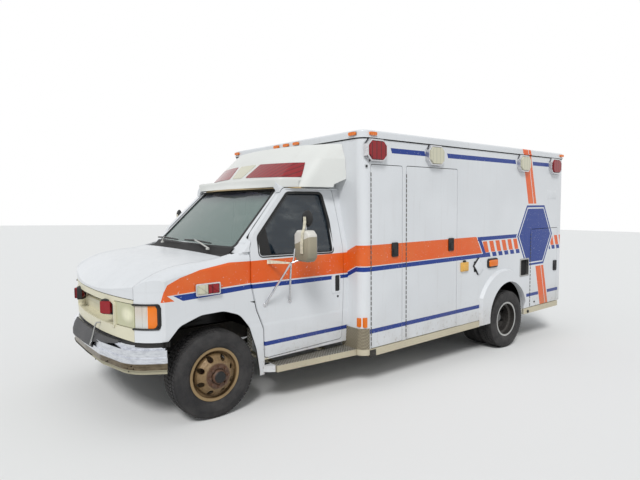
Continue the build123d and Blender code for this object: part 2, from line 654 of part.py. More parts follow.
tall = locker(LOCKER_FRONT, LOCKER_REAR, SKIRT_Z - 18, 2170, [1230], dividers=(-2035,))
low_left = locker(REAR_LOCKER_FRONT, REAR_LOCKER_REAR, SKIRT_Z - 18, 1440, [])
low_right = across(locker(REAR_LOCKER_FRONT, REAR_LOCKER_REAR, SKIRT_Z - 18, 1440, []))
keep("locker_boxes", tall, low_left, low_right)

# Outside doors, flush with the wall, each on a piano hinge along one upright edge


def flush_door(hinge_x, free_x, low, high):
    """A door panel with the barrel of its piano hinge."""
    panel = along_y(side_face(hinge_x, free_x, low, high, -SEAM), BOX_HALF - BOX_WALL, BOX_HALF)
    barrel = Pos(hinge_x, BOX_HALF + HINGE_OUT, (low + high) * HALF)
    barrel = barrel * Cylinder(HINGE_RADIUS - 1.6, high - low - 60)
    return panel + barrel


LATCH = (87, 140, 10)       # width, height, how far its plate stands out
# columns: latch centre x, latch centre z
LATCHES = {
    "locker_door_left_front": (-1891, 1298),
    "locker_door_left_middle": (-2816, 1299),
    "locker_door_left_rear": (-5258, 864),
    "entry_door": (-2816, 1299),
    "locker_door_right_rear": (-5258, 864),
}
ENTRY_WINDOW = (-2760, -2236, 1420, 1960)


def latch_plate(name):
    """The raised plate round a door's latch."""
    x, z = LATCHES[name]
    width, height, proud = LATCH
    face = rounded(x - width * HALF, x + width * HALF, z - height * HALF, z + height * HALF, 14)
    return along_y(face, BOX_HALF - 1, BOX_HALF + proud)


for name, row in LEFT_DOORS.items():
    keep(name, whole(flush_door(*row) + latch_plate(name)))
entry = flush_door(*RIGHT_DOORS["entry_door"]) + latch_plate("entry_door")
window_cut = along_y(rounded(*ENTRY_WINDOW, 60), BOX_HALF - 60, BOX_HALF + 20)
entry_pane = along_y(rounded(*ENTRY_WINDOW, 60), BOX_HALF - 24, BOX_HALF - 18)
keep("entry_door", whole(across(entry - window_cut)))
keep("entry_glass", across(entry_pane))
right_locker = flush_door(*RIGHT_DOORS["locker_door_right_rear"]) + latch_plate("locker_door_right_rear")
keep("locker_door_right_rear", across(whole(right_locker)))

REAR_WINDOW = (90, 550, 1440, 1930)
rear_leaf = rounded(REAR_MEETING, REAR_DOOR_HALF - SEAM, REAR_DOOR_BOTTOM + SEAM, REAR_DOOR_TOP - SEAM, 14)
rear_panel = along_x(rear_leaf, BOX_REAR, BOX_REAR + BOX_WALL)
rear_panel = rear_panel - along_x(rounded(*REAR_WINDOW, 60), BOX_REAR - 1, BOX_REAR + 60)
rear_barrel = Pos(BOX_REAR - HINGE_OUT, REAR_DOOR_HALF, (REAR_DOOR_BOTTOM + REAR_DOOR_TOP) * HALF)
rear_panel = rear_panel + rear_barrel * Cylinder(HINGE_RADIUS - 1.6, REAR_DOOR_TOP - REAR_DOOR_BOTTOM - 60)
rear_pane = along_x(rounded(*REAR_WINDOW, 60), BOX_REAR + 18, BOX_REAR + 24)
keep("rear_door_left", whole(rear_panel))
keep("rear_door_right", across(whole(rear_panel)))
keep("rear_glass_left", rear_pane)
keep("rear_glass_right", across(rear_pane))

# Skirt rails, front corner guards and rear wheel flares
FLARE_CENTRE_X = -3905
FLARE_CENTRE_Z = 347
FLARE_RADIUS = 580
FLARE_FRONT = -3391
FLARE_REAR = -4419
FLARE_OUT = 1261
FLARE_TAPER = 24            # degrees, of its outer edge
flare_circle = Pos(-FLARE_CENTRE_X, FLARE_CENTRE_Z) * Circle(FLARE_RADIUS)
flare_face = flare_circle & rounded(-FLARE_FRONT, -FLARE_REAR, RAIL_Z, 1000, 8)
left_side = Plane((0, BOX_HALF, 0), x_dir=(-1, 0, 0), z_dir=(0, 1, 0))
flare = extrude(left_side * flare_face, FLARE_OUT - BOX_HALF, taper=FLARE_TAPER)
flare = flare - along_y(arch_face(REAR_ARCH_RADIUS - 4), BOX_HALF - 1, FLARE_OUT + 1)
keep("wheel_flares", whole(flare), across(whole(flare)))

RAIL_OUT = 1225
GUARD = 4
GUARD_IN_Y = 926
GUARD_SIDE_X = -1535
GUARD_TOP = 550
GUARD_LOW = 285
rail_faces = along_z(module_plan(RAIL_OUT - BOX_HALF) - module_plan(-24), RAIL_Z, SKIRT_Z - 5)
front_rail = whole(rail_faces & block(FLARE_FRONT + 2, GUARD_SIDE_X - 2, 1100, 1300, 200, 400))
rear_rail = whole(rail_faces & block(BOX_REAR + 120, FLARE_REAR - 2, 1100, 1300, 200, 400))
guard_ring = along_z(module_plan(GUARD) - module_plan(), SKIRT_Z, GUARD_TOP)
guard_foot = along_z(module_plan(GUARD) - module_plan(-24), GUARD_LOW, SKIRT_Z)
guard = whole((guard_ring + guard_foot) & block(GUARD_SIDE_X, BOX_FRONT + 10, GUARD_IN_Y, 1300, 200, 600))
keep("body_rails", front_rail, rear_rail, guard, across(front_rail), across(rear_rail), across(guard))

# Lamps on the module: chamfered lenses that stand out from the wall
LAMP_WIDTH = 244
LAMP_HEIGHT = 193
LAMP_CUT = 46
LAMP_OUT = 60
LAMP_Z = 2269
RED_LAMP_X = (-1606, -5168)
CLEAR_LAMP_X = (-2503, -4329)


def box_lamp(x, z):
    """An eight-sided lens on the left wall."""
    u, v = LAMP_WIDTH * HALF, LAMP_HEIGHT * HALF
    corner = [(u, v - LAMP_CUT), (u - LAMP_CUT, v), (LAMP_CUT - u, v), (-u, v - LAMP_CUT)]
    face = flat(corner + [(-a, -b) for a, b in corner])
    plane = Plane((x, BOX_HALF, z), x_dir=(-1, 0, 0), z_dir=(0, 1, 0))
    return extrude(plane * face, LAMP_OUT, taper=12)


def rear_lamp(y, z, width, height, out):
    """A lens on the rear wall."""
    face = rounded(-width * HALF, width * HALF, -height * HALF, height * HALF, 20)
    plane = Plane((BOX_REAR, y, z), x_dir=(0, 1, 0), z_dir=(-1, 0, 0))
    return extrude(plane * face, out, taper=8)


TAIL_LAMP_Y = 960
tail_lamp = rear_lamp(TAIL_LAMP_Y, 560, 160, 110, 24)
rear_red = rear_lamp(1020, 2255, 230, 180, 45)
rear_clear = rear_lamp(340, 2290, 200, 130, 40)
reds = [corner_lens, across(corner_lens), grille_lamp, across(grille_lamp)]
clears = [middle_lens, headlamp, across(headlamp), turn_clear, across(turn_clear)]
for lamp_x in RED_LAMP_X:
    reds += [box_lamp(lamp_x, LAMP_Z), across(box_lamp(lamp_x, LAMP_Z))]
for lamp_x in CLEAR_LAMP_X:
    clears += [box_lamp(lamp_x, LAMP_Z), across(box_lamp(lamp_x, LAMP_Z))]
reds += [tail_lamp, across(tail_lamp), rear_red, across(rear_red)]
clears += [rear_clear, across(rear_clear)]
keep("red_lamps", *reds)
keep("clear_lamps", *clears)

# Amber turn lamps, roof clearance lamps and side markers
CLEARANCE_Y = (-1100, -190, 0, 190, 1100)
CLEARANCE_Z = 2427
ambers = [turn_lamp, across(turn_lamp)]
for lamp_y in CLEARANCE_Y:
    small_lamp = rounded(lamp_y - 45, lamp_y + 45, CLEARANCE_Z - 16, CLEARANCE_Z + 16, 12)
    ambers.append(along_x(small_lamp, BOX_FRONT + 6, BOX_FRONT + 30))
    ambers.append(along_x(small_lamp, BOX_REAR - 30, BOX_REAR - 6))
MARKER_X = -1574
marker = rounded(MARKER_X - 45, MARKER_X + 45, CLEARANCE_Z - 16, CLEARANCE_Z + 16, 12)
marker = along_y(marker, BOX_HALF + 6, BOX_HALF + 26)
rear_marker = Pos(BOX_REAR + 110 - MARKER_X, 0, 0) * marker
ambers += [marker, across(marker), rear_marker, across(rear_marker)]
keep("amber_lamps", *ambers)

# Running boards and the rear step
BOARD_BOTTOM = 285
BOARD_TOP = 347
BOARD_PLAN = [(BOX_FRONT + 6, 928), (BOX_FRONT + 6, 1138), (BOARD_FRONT, 1056), (BOARD_FRONT, 928)]
board_plan = flat(BOARD_PLAN, {1: 6, 2: 6})
board = along_z(board_plan, BOARD_BOTTOM, BOARD_TOP)
board = board - along_z(offset(board_plan, -10), BOARD_BOTTOM - 1, BOARD_TOP - 12)
BRACKET_X = [-640, -1250]
BRACKET_IN = 452            # inner face of its upright, outside the frame rail
for bracket_x in BRACKET_X:
    bracket_rear, bracket_front = bracket_x - 25, bracket_x + 25
    board = board + block(bracket_rear, bracket_front, BRACKET_IN, 935, 300, 325)
    board = board + block(bracket_rear, bracket_front, BRACKET_IN, BRACKET_IN + 10, 300, 560)
    board = board + block(bracket_rear, bracket_front, RAIL_OUTER, BRACKET_IN + 10, 540, 560)
keep("running_boards", whole(board), across(whole(board)))

STEP_OUT = 255
step_top = block(BOX_REAR - STEP_OUT, BOX_REAR - 12, -980, 980, 428, 440)
step_edge = block(BOX_REAR - STEP_OUT, BOX_REAR - STEP_OUT + 12, -980, 980, 350, 440)
rear_step = step_top + step_edge
for side in (-1, 1):
    for arm_y in (460, 860):
        arm_low, arm_high = side * arm_y - 20, side * arm_y + 20
        rear_step = rear_step + block(BOX_REAR - STEP_OUT + 6, BOX_REAR - 12, arm_low, arm_high, 380, 430)
    stay_low, stay_high = side * 455 - 18, side * 455 + 18
    rear_step = rear_step + block(BOX_REAR - 60, BOX_REAR + 200, stay_low, stay_high, 470, 560)
    rear_step = rear_step + block(BOX_REAR - 60, BOX_REAR - 12, stay_low, stay_high, 380, 560)
keep("rear_step", whole(rear_step))


# Ladder frame: two channel rails and their crossmembers
FRAME_FRONT = 640
FRAME_REAR = -5408
channel = block(FRAME_REAR, FRAME_FRONT, RAIL_OUTER - RAIL_WIDTH, RAIL_OUTER, RAIL_BOTTOM, RAIL_HIGH)
channel = channel - block(
    FRAME_REAR - 1, FRAME_FRONT + 1, RAIL_OUTER - RAIL_WIDTH - 1, RAIL_OUTER - RAIL_SHEET,
    RAIL_BOTTOM + RAIL_SHEET, RAIL_HIGH - RAIL_SHEET,
)
HANGER_X = [-3335, -4700]
for hanger_x in HANGER_X:
    channel = channel + block(hanger_x - 30, hanger_x + 30, RAIL_OUTER - 2, 560, 330, 520)
rail = whole(channel)
keep("chassis_frame", rail, across(rail))
CROSSMEMBER_HALF = 45
# columns: middle x, low z, high z
CROSSMEMBERS = [
    (590, 500, 580), (60, 430, 470), (-1350, 520, 600), (-2300, 500, 580),
    (-3250, 500, 580), (-4480, 500, 580), (-5300, 500, 580),
]
CROSS_Y = RAIL_OUTER - RAIL_SHEET
members = []
for cross_x, low, high in CROSSMEMBERS:
    cross_rear, cross_front = cross_x - CROSSMEMBER_HALF, cross_x + CROSSMEMBER_HALF
    members.append(block(cross_rear, cross_front, -CROSS_Y, CROSS_Y, low, high))
keep("crossmembers", *members)

# Twin front beams, radius arms and springs, drawn on the ground frame
AXLE_Z = TYRE_RADIUS
EYE_RADIUS = 36
EYE_HALF = 42
BEAM_Y = 690
beam_points = [
    (-250, 300), (520, 262), (BEAM_Y, 318), (BEAM_Y + 20, 400),
    (BEAM_Y - 30, 410), (500, 330), (-250, 372),
]
beam = along_x(flat(beam_points, {1: 120, 5: 120}), 12, 58)
eye = Pos(0, KINGPIN_Y, AXLE_Z) * Cylinder(EYE_RADIUS, 2 * EYE_HALF)
eye_arm = block(-28, 58, BEAM_Y - 20, KINGPIN_Y - 20, AXLE_Z - 38, AXLE_Z + 38)
kingpin_bore = Pos(0, KINGPIN_Y, AXLE_Z) * Cylinder(KINGPIN_RADIUS + RUNNING_GAP, 4 * EYE_HALF)
arm = rod((30, 540, 300), (-700, 400, 462), 24)
spring = Pos(0, 510, 420) * Cylinder(62, 150)
spring_cup = Pos(0, 500, 345) * Cylinder(70, 14)
left_beam = beam + eye_arm + eye - kingpin_bore + arm + spring + spring_cup
right_beam = mirror(beam, Plane.YZ) + mirror(eye_arm, Plane.YZ) + eye - kingpin_bore
right_beam = across(right_beam + arm + spring + spring_cup)
keep("front_axle", whole(left_beam), whole(right_beam), level=False)


def leaned(shape):
    """A left front piece drawn about the y axis, raised to the axle and leaned outwards."""
    upright = Pos(0, -FRONT_TYRE_Y, 0) * shape
    return Pos(0, FRONT_TYRE_Y, AXLE_Z) * Rot(-CAMBER, 0, 0) * upright


# Knuckles turn on the kingpins and carry the front spindles
FRONT_FACE_Y = FRONT_TYRE_Y + DISC_OFFSET
YOKE_GAP = 5
YOKE_THICK = 24
YOKE_IN = KINGPIN_Y - 36
YOKE_OUT = KINGPIN_Y + 70
YOKE_LOW = AXLE_Z - EYE_HALF - YOKE_GAP - YOKE_THICK
YOKE_HIGH = AXLE_Z + EYE_HALF + YOKE_GAP + YOKE_THICK
SPINDLE_IN = KINGPIN_Y + 66
spindle = Pos(0, (SPINDLE_IN + FRONT_FACE_Y) * HALF, 0) * Rot(90, 0, 0)
spindle = spindle * Cylinder(SPINDLE_RADIUS, FRONT_FACE_Y - SPINDLE_IN)
spindle = leaned(spindle)
yoke_low = block(-38, 38, YOKE_IN, YOKE_OUT, YOKE_LOW, YOKE_LOW + YOKE_THICK)
yoke_high = block(-38, 38, YOKE_IN, YOKE_OUT, YOKE_HIGH - YOKE_THICK, YOKE_HIGH)
yoke_web = block(-38, 38, YOKE_OUT - 24, YOKE_OUT, YOKE_LOW, YOKE_HIGH)
pin = Pos(0, KINGPIN_Y, AXLE_Z) * Cylinder(KINGPIN_RADIUS, YOKE_HIGH - YOKE_LOW)
knuckle = yoke_low + yoke_high + yoke_web + pin + spindle
keep("knuckle_left", whole(knuckle), level=False)
keep("knuckle_right", across(whole(knuckle)), level=False)

# Wheels: a rolled rim, a pressed disc with hand holes, and the hub on it
# Profiles are (radius, y), with y out from the rim's middle
RIM_OUTER = [
    (RIM_RADIUS, 89), (RIM_RADIUS, 83), (203, 81), (203, 44), (176, 30), (176, -14), (203, -28),
    (203, -81), (RIM_RADIUS, -83), (RIM_RADIUS, -89), (197, -87), (197, -32), (170, -18), (170, 34),
    (197, 48), (197, 87),
]
DISC_PROFILE = [
    (171, 28), (171, 52), (164, 92), (140, 118), (112, DISC_OFFSET + 8), (96, DISC_OFFSET + 10),
    (62, DISC_OFFSET + 10), (62, DISC_OFFSET), (96, DISC_OFFSET), (110, DISC_OFFSET - 3), (134, 110),
    (156, 86), (163, 48), (163, 28),
]


def wheel_disc(y, outward):
    """One rim with its disc, the disc towards outward."""
    rim = turned_y(RIM_OUTER, 0, 0, 0)
    disc = turned_y(DISC_PROFILE, 0, 0, 0)
    for index in range(HAND_HOLES):
        turn = Rot(0, (index + HALF) * 360 / HAND_HOLES, 0)
        disc = disc - turn * Pos(HAND_HOLE_CIRCLE, 105, 0) * Rot(90, 0, 0) * Cylinder(HAND_HOLE_RADIUS, 120)
    solid = rim + disc
    return Pos(0, y, 0) * (solid if outward > 0 else mirror(solid, Plane.XZ))


HUB_BORE = SPINDLE_RADIUS + RUNNING_GAP
FRONT_HUB = [
    (HUB_BORE, FRONT_FACE_Y - 150), (150, FRONT_FACE_Y - 150), (150, FRONT_FACE_Y - 112),
    (72, FRONT_FACE_Y - 104), (72, FRONT_FACE_Y - 14), (100, FRONT_FACE_Y - 8), (100, FRONT_FACE_Y),
    (60, FRONT_FACE_Y), (58, FRONT_FACE_Y + 30), (44, FRONT_FACE_Y + 52), (0, FRONT_FACE_Y + 52),
    (0, FRONT_FACE_Y + 4), (HUB_BORE, FRONT_FACE_Y + 4),
]
LUGS = 8
LUG_CIRCLE = 82.55
LUG_RADIUS = 11
front_wheel = wheel_disc(FRONT_TYRE_Y, 1) + turned_y(FRONT_HUB, 0, 0, 0)
RING_LOW = FRONT_FACE_Y + 10
RING_HIGH = FRONT_FACE_Y + 18
LUG_RING = [(66, RING_LOW), (98, RING_LOW), (96, RING_HIGH), (66, RING_HIGH)]
front_wheel = front_wheel + turned_y(LUG_RING, 0, 0, 0)
for index in range(LUGS):
    turn = Rot(0, index * 360 / LUGS, 0)
    stud = Pos(LUG_CIRCLE, FRONT_FACE_Y + 26, 0) * Rot(90, 0, 0) * Cylinder(LUG_RADIUS, 24)
    front_wheel = front_wheel + turn * stud
front_wheel = leaned(whole(front_wheel))

REAR_FACE_Y = REAR_OUTER_Y - DISC_OFFSET
REAR_BORE = REAR_SPINDLE_RADIUS + RUNNING_GAP
REAR_HUB = [
    (REAR_BORE, REAR_FACE_Y - 175), (150, REAR_FACE_Y - 175), (150, REAR_FACE_Y - 60),
    (96, REAR_FACE_Y - 50), (96, REAR_FACE_Y - 10), (60, REAR_FACE_Y - 10), (60, REAR_FACE_Y + 96),
    (46, REAR_FACE_Y + 110), (0, REAR_FACE_Y + 110), (0, REAR_FACE_Y + 70), (REAR_BORE, REAR_FACE_Y + 70),
]
rear_wheel = wheel_disc(REAR_OUTER_Y, -1) + wheel_disc(REAR_INNER_Y, 1) + turned_y(REAR_HUB, 0, 0, 0)
for index in range(LUGS):
    turn = Rot(0, index * 360 / LUGS, 0)
    stud = Pos(LUG_CIRCLE, REAR_FACE_Y + 20, 0) * Rot(90, 0, 0) * Cylinder(LUG_RADIUS, 30)
    rear_wheel = rear_wheel + turn * stud
rear_wheel = Pos(-WHEELBASE, 0, AXLE_Z) * whole(rear_wheel)
keep("wheel_front_left", front_wheel, level=False)
keep("wheel_front_right", across(front_wheel), level=False)
keep("wheels_rear_left", rear_wheel, level=False)
keep("wheels_rear_right", across(rear_wheel), level=False)

TYRE_HALF_PROFILE = [
    (TYRE_RADIUS, 0), (TYRE_RADIUS - 4, 66), (TYRE_RADIUS - 9, 88), (TYRE_RADIUS - 30, 101),
    (292, TYRE_HALF_WIDTH), (250, 104), (222, 82), (BEAD_RADIUS, 80),
]
tyre_profile = TYRE_HALF_PROFILE + [(radius, -y) for radius, y in reversed(TYRE_HALF_PROFILE[1:])]


def tyre(x, y):
    """One upright tyre, its middle at (x, y)."""
    return turned_y(tyre_profile, x, y, AXLE_Z)


front_tyre = leaned(turned_y(tyre_profile, 0, FRONT_TYRE_Y, 0))
keep("tyre_front_left", front_tyre, level=False)
keep("tyre_front_right", across(front_tyre), level=False)
keep("tyres_rear_left", tyre(-WHEELBASE, REAR_INNER_Y), tyre(-WHEELBASE, REAR_OUTER_Y), level=False)
keep("tyres_rear_right", tyre(-WHEELBASE, -REAR_INNER_Y), tyre(-WHEELBASE, -REAR_OUTER_Y), level=False)

# Rear axle, leaf springs and the shaft that drives it
AXLE_TUBE = 44
rear_axle = Pos(-WHEELBASE, 0, AXLE_Z) * Rot(90, 0, 0) * Cylinder(AXLE_TUBE, 1560)
rear_spindle = Cylinder(REAR_SPINDLE_RADIUS, 2 * (REAR_FACE_Y + 66))
rear_axle = rear_axle + Pos(-WHEELBASE, 0, AXLE_Z) * Rot(90, 0, 0) * rear_spindle
banjo_face = flat([(0, 0), (0, 165), (90, 150), (150, 60), (150, 0)])
banjo = revolve(Plane.XZ * banjo_face, Axis.X, 360)
banjo = Pos(-WHEELBASE, 0, AXLE_Z) * (banjo + mirror(banjo, Plane.YZ))
rear_axle = rear_axle + banjo
SPRING_Y = 520
SPRING_HALF_WIDTH = 32
leaf_arc = [(-3374, 364), (-3650, 300), (-4013, 282), (-4376, 300), (-4652, 364)]
leaf_top = [(x, z + 16 + 40 * max(0, 1 - abs(x + WHEELBASE) / 600)) for x, z in leaf_arc]
leaf_face = flat(leaf_arc + list(reversed(leaf_top)))
leaf = along_y(leaf_face, SPRING_Y - SPRING_HALF_WIDTH, SPRING_Y + SPRING_HALF_WIDTH)
rear_axle = rear_axle + leaf + across(leaf)
drive_shaft = rod((-WHEELBASE + 120, 0, AXLE_Z), (-1235, 0, 500), 42)
rear_axle = rear_axle + drive_shaft
keep("rear_axle", whole(rear_axle), level=False)

# Engine, gearbox, fuel tank and exhaust
gearbox = block(-1200, -560, -130, 130, 430, 640) + block(-760, -560, -190, 190, 440, 760)
keep("engine_block", whole(block(*ENGINE) + gearbox))
tank = block(-5230, -4560, -345, 345, 330, 590)
tank = fillet(tank.edges().filter_by(Axis.Y), 60)
keep("fuel_tank", tank)
MUFFLER_Y = -590
muffler = Pos(-2250, MUFFLER_Y, 500) * Rot(0, 90, 0) * Cylinder(95, 640)
front_pipe = rod((-650, MUFFLER_Y, 500), (-1950, MUFFLER_Y, 500), 30)
tail_pipe = rod((-2560, MUFFLER_Y, 500), (-3200, MUFFLER_Y - 40, 500), 30)
keep("exhaust", whole(muffler + front_pipe + tail_pipe))

# Cab inside: two seats, dashboard with engine cover, steering wheel
SEAT_Y = 560
cushion = fillet(block(-1270, -810, SEAT_Y - 205, SEAT_Y + 205, 960, 1080).edges(), 30)
back_rest = Rot(0, -12, 0) * fillet(block(-60, 60, -200, 200, 0, 620).edges(), 35)
back_rest = Pos(-1235, SEAT_Y, 1040) * back_rest
pedestal = block(-1200, -860, SEAT_Y - 170, SEAT_Y + 170, CAB_FLOOR + 0.5, 962)
seat = whole(cushion + back_rest + pedestal)
keep("cab_seats", seat, across(seat))
dash_profile = [
    (-300, 1325), (-500, 1330), (-600, 1270), (-600, 1120), (-470, 990), (-390, 940), (-330, 1190),
]
dash = along_y(flat(dash_profile, {1: 40, 2: 50, 3: 40}), -860, 860)
cover_profile = [
    (-300, 1050), (-300, 1120), (-560, 1120), (-860, 1020), (-880, CAB_FLOOR + 1),
    (-845, CAB_FLOOR + 1), (-845, 990), (-560, 1088), (-340, 1088),
]
cover = along_y(flat(cover_profile), -345, 345)
cheek_profile = [
    (-341, 800), (-341, 1089), (-560, 1089), (-850, 1000), (-850, CAB_FLOOR + 1), (-470, CAB_FLOOR + 1),
]
cover_cheek = along_y(flat(cheek_profile), 325, 345)
cover = cover + cover_cheek + across(cover_cheek)
dash = dash & block(-700, -300, -860, 860, 900, 1400)
dash = dash - block(-900, -200, -346, 346, 600, 1121)
cover = cover & block(-900, -302, -345, 345, CAB_FLOOR, 1121)
keep("dashboard", whole(dash - cab_shell), whole(cover - cab_shell))
WHEEL_CENTRE = (-720, SEAT_Y, 1260)
COLUMN_TILT = 48            # degrees of the wheel's plane from level
rim_ring = Torus(190, 14)
spokes = block(-16, 16, -185, 185, -8, 8) + block(-185, 0, -16, 16, -8, 8)
wheel_boss = Cylinder(48, 36)
steering = rim_ring + spokes + wheel_boss
steering = Pos(*WHEEL_CENTRE) * Rot(0, -COLUMN_TILT, 0) * steering
keep("steering_wheel", whole(steering))

# Inside the module: bench over the right wheel housing and a cabinet over the left one
bench = block(-4535, -3050, -INSIDE + 1, -WELL_IN + 20, FLOOR_Z + 0.5, 1150)
bench = bench - block(WELL_REAR - 3, WELL_FRONT + 3, -INSIDE, -WELL_IN + 3, FLOOR_Z, WELL_TOP + 3)
pad = fillet(block(-4535, -3050, -INSIDE + 1, -WELL_IN + 20, 1152, 1212).edges(), 20)
cabinet = block(-4535, -3000, LOCKER_IN, INSIDE - 1, FLOOR_Z + 0.5, 2340)
cabinet = cabinet - block(WELL_REAR - 3, WELL_FRONT + 3, WELL_IN - 3, INSIDE, FLOOR_Z, WELL_TOP + 3)
keep("module_furniture", whole(bench), pad, whole(cabinet))

# Door mirrors on their arms
MIRROR_Y = 1290
mirror_head = block(-760, -664, MIRROR_Y - 105, MIRROR_Y + 105, 1275, 1541)
mirror_head = fillet(mirror_head.edges(), 26)
ARM_RADIUS = 9
ARM_JOINT = (-618, 1204, 1262)
ARM_ENDS = [(-474, 1008, 891), (-736, 1008, 892), (-509, 1007, 1264), (-690, 1250, 1290)]
arms = [rod(ARM_JOINT, end, ARM_RADIUS) for end in ARM_ENDS]
strap = rod((-652, 1196, 1256), (-668, 1200, 1392), ARM_RADIUS - 2)
small_mirror = Pos(-706, MIRROR_Y, 1653) * Rot(0, 90, 0) * Cylinder(54, 26)
small_stay = rod((-700, MIRROR_Y, 1530), (-700, MIRROR_Y, 1640), ARM_RADIUS - 2)
door_mirror = mirror_head + arms + strap + small_stay + small_mirror - skin
keep("mirror_left", whole(door_mirror))
keep("mirror_right", across(whole(door_mirror)))

# Centre the vehicle on its own length and write every node
boxes = [solid.bounding_box() for solids in PARTS.values() for solid in solids]
rear_end = min(box.min.X for box in boxes)
front_end = max(box.max.X for box in boxes)
SHIFT_X = -(rear_end + front_end) * HALF
os.makedirs("parts", exist_ok=True)
for name, solids in PARTS.items():
    placed = [Pos(SHIFT_X, 0, 0) * solid for solid in solids]
    node = placed[0] if len(placed) == 1 else Compound(children=placed)
    export_step(node, f"parts/{name}.step")
print("shift", SHIFT_X, "length", front_end - rear_end, "nodes", len(PARTS))
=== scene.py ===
import math

import bmesh
import bpy
from mathutils import Matrix, Vector


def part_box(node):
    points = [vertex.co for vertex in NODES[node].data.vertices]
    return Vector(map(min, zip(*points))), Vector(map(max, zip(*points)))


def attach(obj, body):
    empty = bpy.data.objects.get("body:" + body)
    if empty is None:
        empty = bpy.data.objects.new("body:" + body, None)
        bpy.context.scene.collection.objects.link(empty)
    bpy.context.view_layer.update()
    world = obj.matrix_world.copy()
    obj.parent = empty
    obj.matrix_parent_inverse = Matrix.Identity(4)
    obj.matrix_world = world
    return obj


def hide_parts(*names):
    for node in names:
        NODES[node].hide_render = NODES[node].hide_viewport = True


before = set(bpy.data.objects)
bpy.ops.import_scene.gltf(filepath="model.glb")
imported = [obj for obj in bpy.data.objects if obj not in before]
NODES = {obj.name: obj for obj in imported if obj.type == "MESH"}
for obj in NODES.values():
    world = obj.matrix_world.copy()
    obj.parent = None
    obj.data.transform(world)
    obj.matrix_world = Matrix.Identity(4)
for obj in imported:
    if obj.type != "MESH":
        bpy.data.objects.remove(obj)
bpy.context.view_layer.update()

bl_info = {
    "name": "Box ambulance",
    "version": (1, 0, 0),
    "blender": (4, 5, 0),
    "location": "View3D > Sidebar > Ambulance",
    "description": "Finishes and trim for a box ambulance on a cutaway van chassis",
    "category": "Object",
}

# The body is drawn level about the ground under the front axle, then tipped nose down
RAKE = math.radians(1.48)
TYRE_LOW, TYRE_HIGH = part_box("tyre_front_left")
AXLE_X = (TYRE_LOW.x + TYRE_HIGH.x) * 0.5
AXLE_Z = (TYRE_LOW.z + TYRE_HIGH.z) * 0.5
LEVEL = Matrix.Translation((AXLE_X, 0, 0)) @ Matrix.Rotation(RAKE, 4, "Y")
GROUND = Matrix.Translation((AXLE_X, 0, 0))
MIRROR = Matrix.Scale(-1, 4, (0, 1, 0))
BOX_FRONT, BOX_REAR, BOX_SIDE = -1.444, -5.480, 1.219
WALL, BACK = BOX_SIDE - 0.001, BOX_REAR + 0.001     # just inside the outer faces, so that trim is let in
CORNER = 0.09
WHEELBASE = 4.013

# Cab side, as (height, distance from the middle)
CAB_SIDE = [
    (0.400, 0.985), (0.500, 0.994), (0.650, 1.003), (0.800, 1.006), (1.000, 1.0085), (1.190, 1.005), (1.290, 1.0015),
    (1.368, 0.989), (1.915, 0.848), (1.940, 0.838), (1.965, 0.800), (1.985, 0.700),
]


def cab_side(height):
    """The cab's half width at a height."""
    for (low, near), (high, far) in zip(CAB_SIDE, CAB_SIDE[1:]):
        if height <= high:
            share = max(0.0, (height - low) / (high - low))
            return near + (far - near) * share
    return CAB_SIDE[-1][1]


# Mesh building

AXES = {"x": (2, 0, 1), "y": (0, 2, 1), "z": (0, 1, 2)}
SMOOTH_BELOW = 35           # degrees; sharper edges stay sharp
WELD = 1e-6
FINISHES = {}


def placed(axis, u, v, depth):
    """A point at a depth along an axis. u and v run along the other two, in x, y, z order."""
    return tuple((u, v, depth)[index] for index in AXES[axis])


def drawn(outline, axis, low, high):
    """An outline's points at two depths along an axis."""
    return [(placed(axis, u, v, low), placed(axis, u, v, high)) for u, v in outline]


def settle(piece, body, mirrored, place, sharp):
    """Puts a piece in its place, smoothed and riding on its body."""
    mesh = piece.data
    mesh.transform(place @ MIRROR if mirrored else place)
    if mirrored:
        mesh.flip_normals()
    for polygon in mesh.polygons:
        polygon.use_smooth = True
    mesh.set_sharp_from_angle(angle=math.radians(sharp))
    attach(piece, body)
    return piece


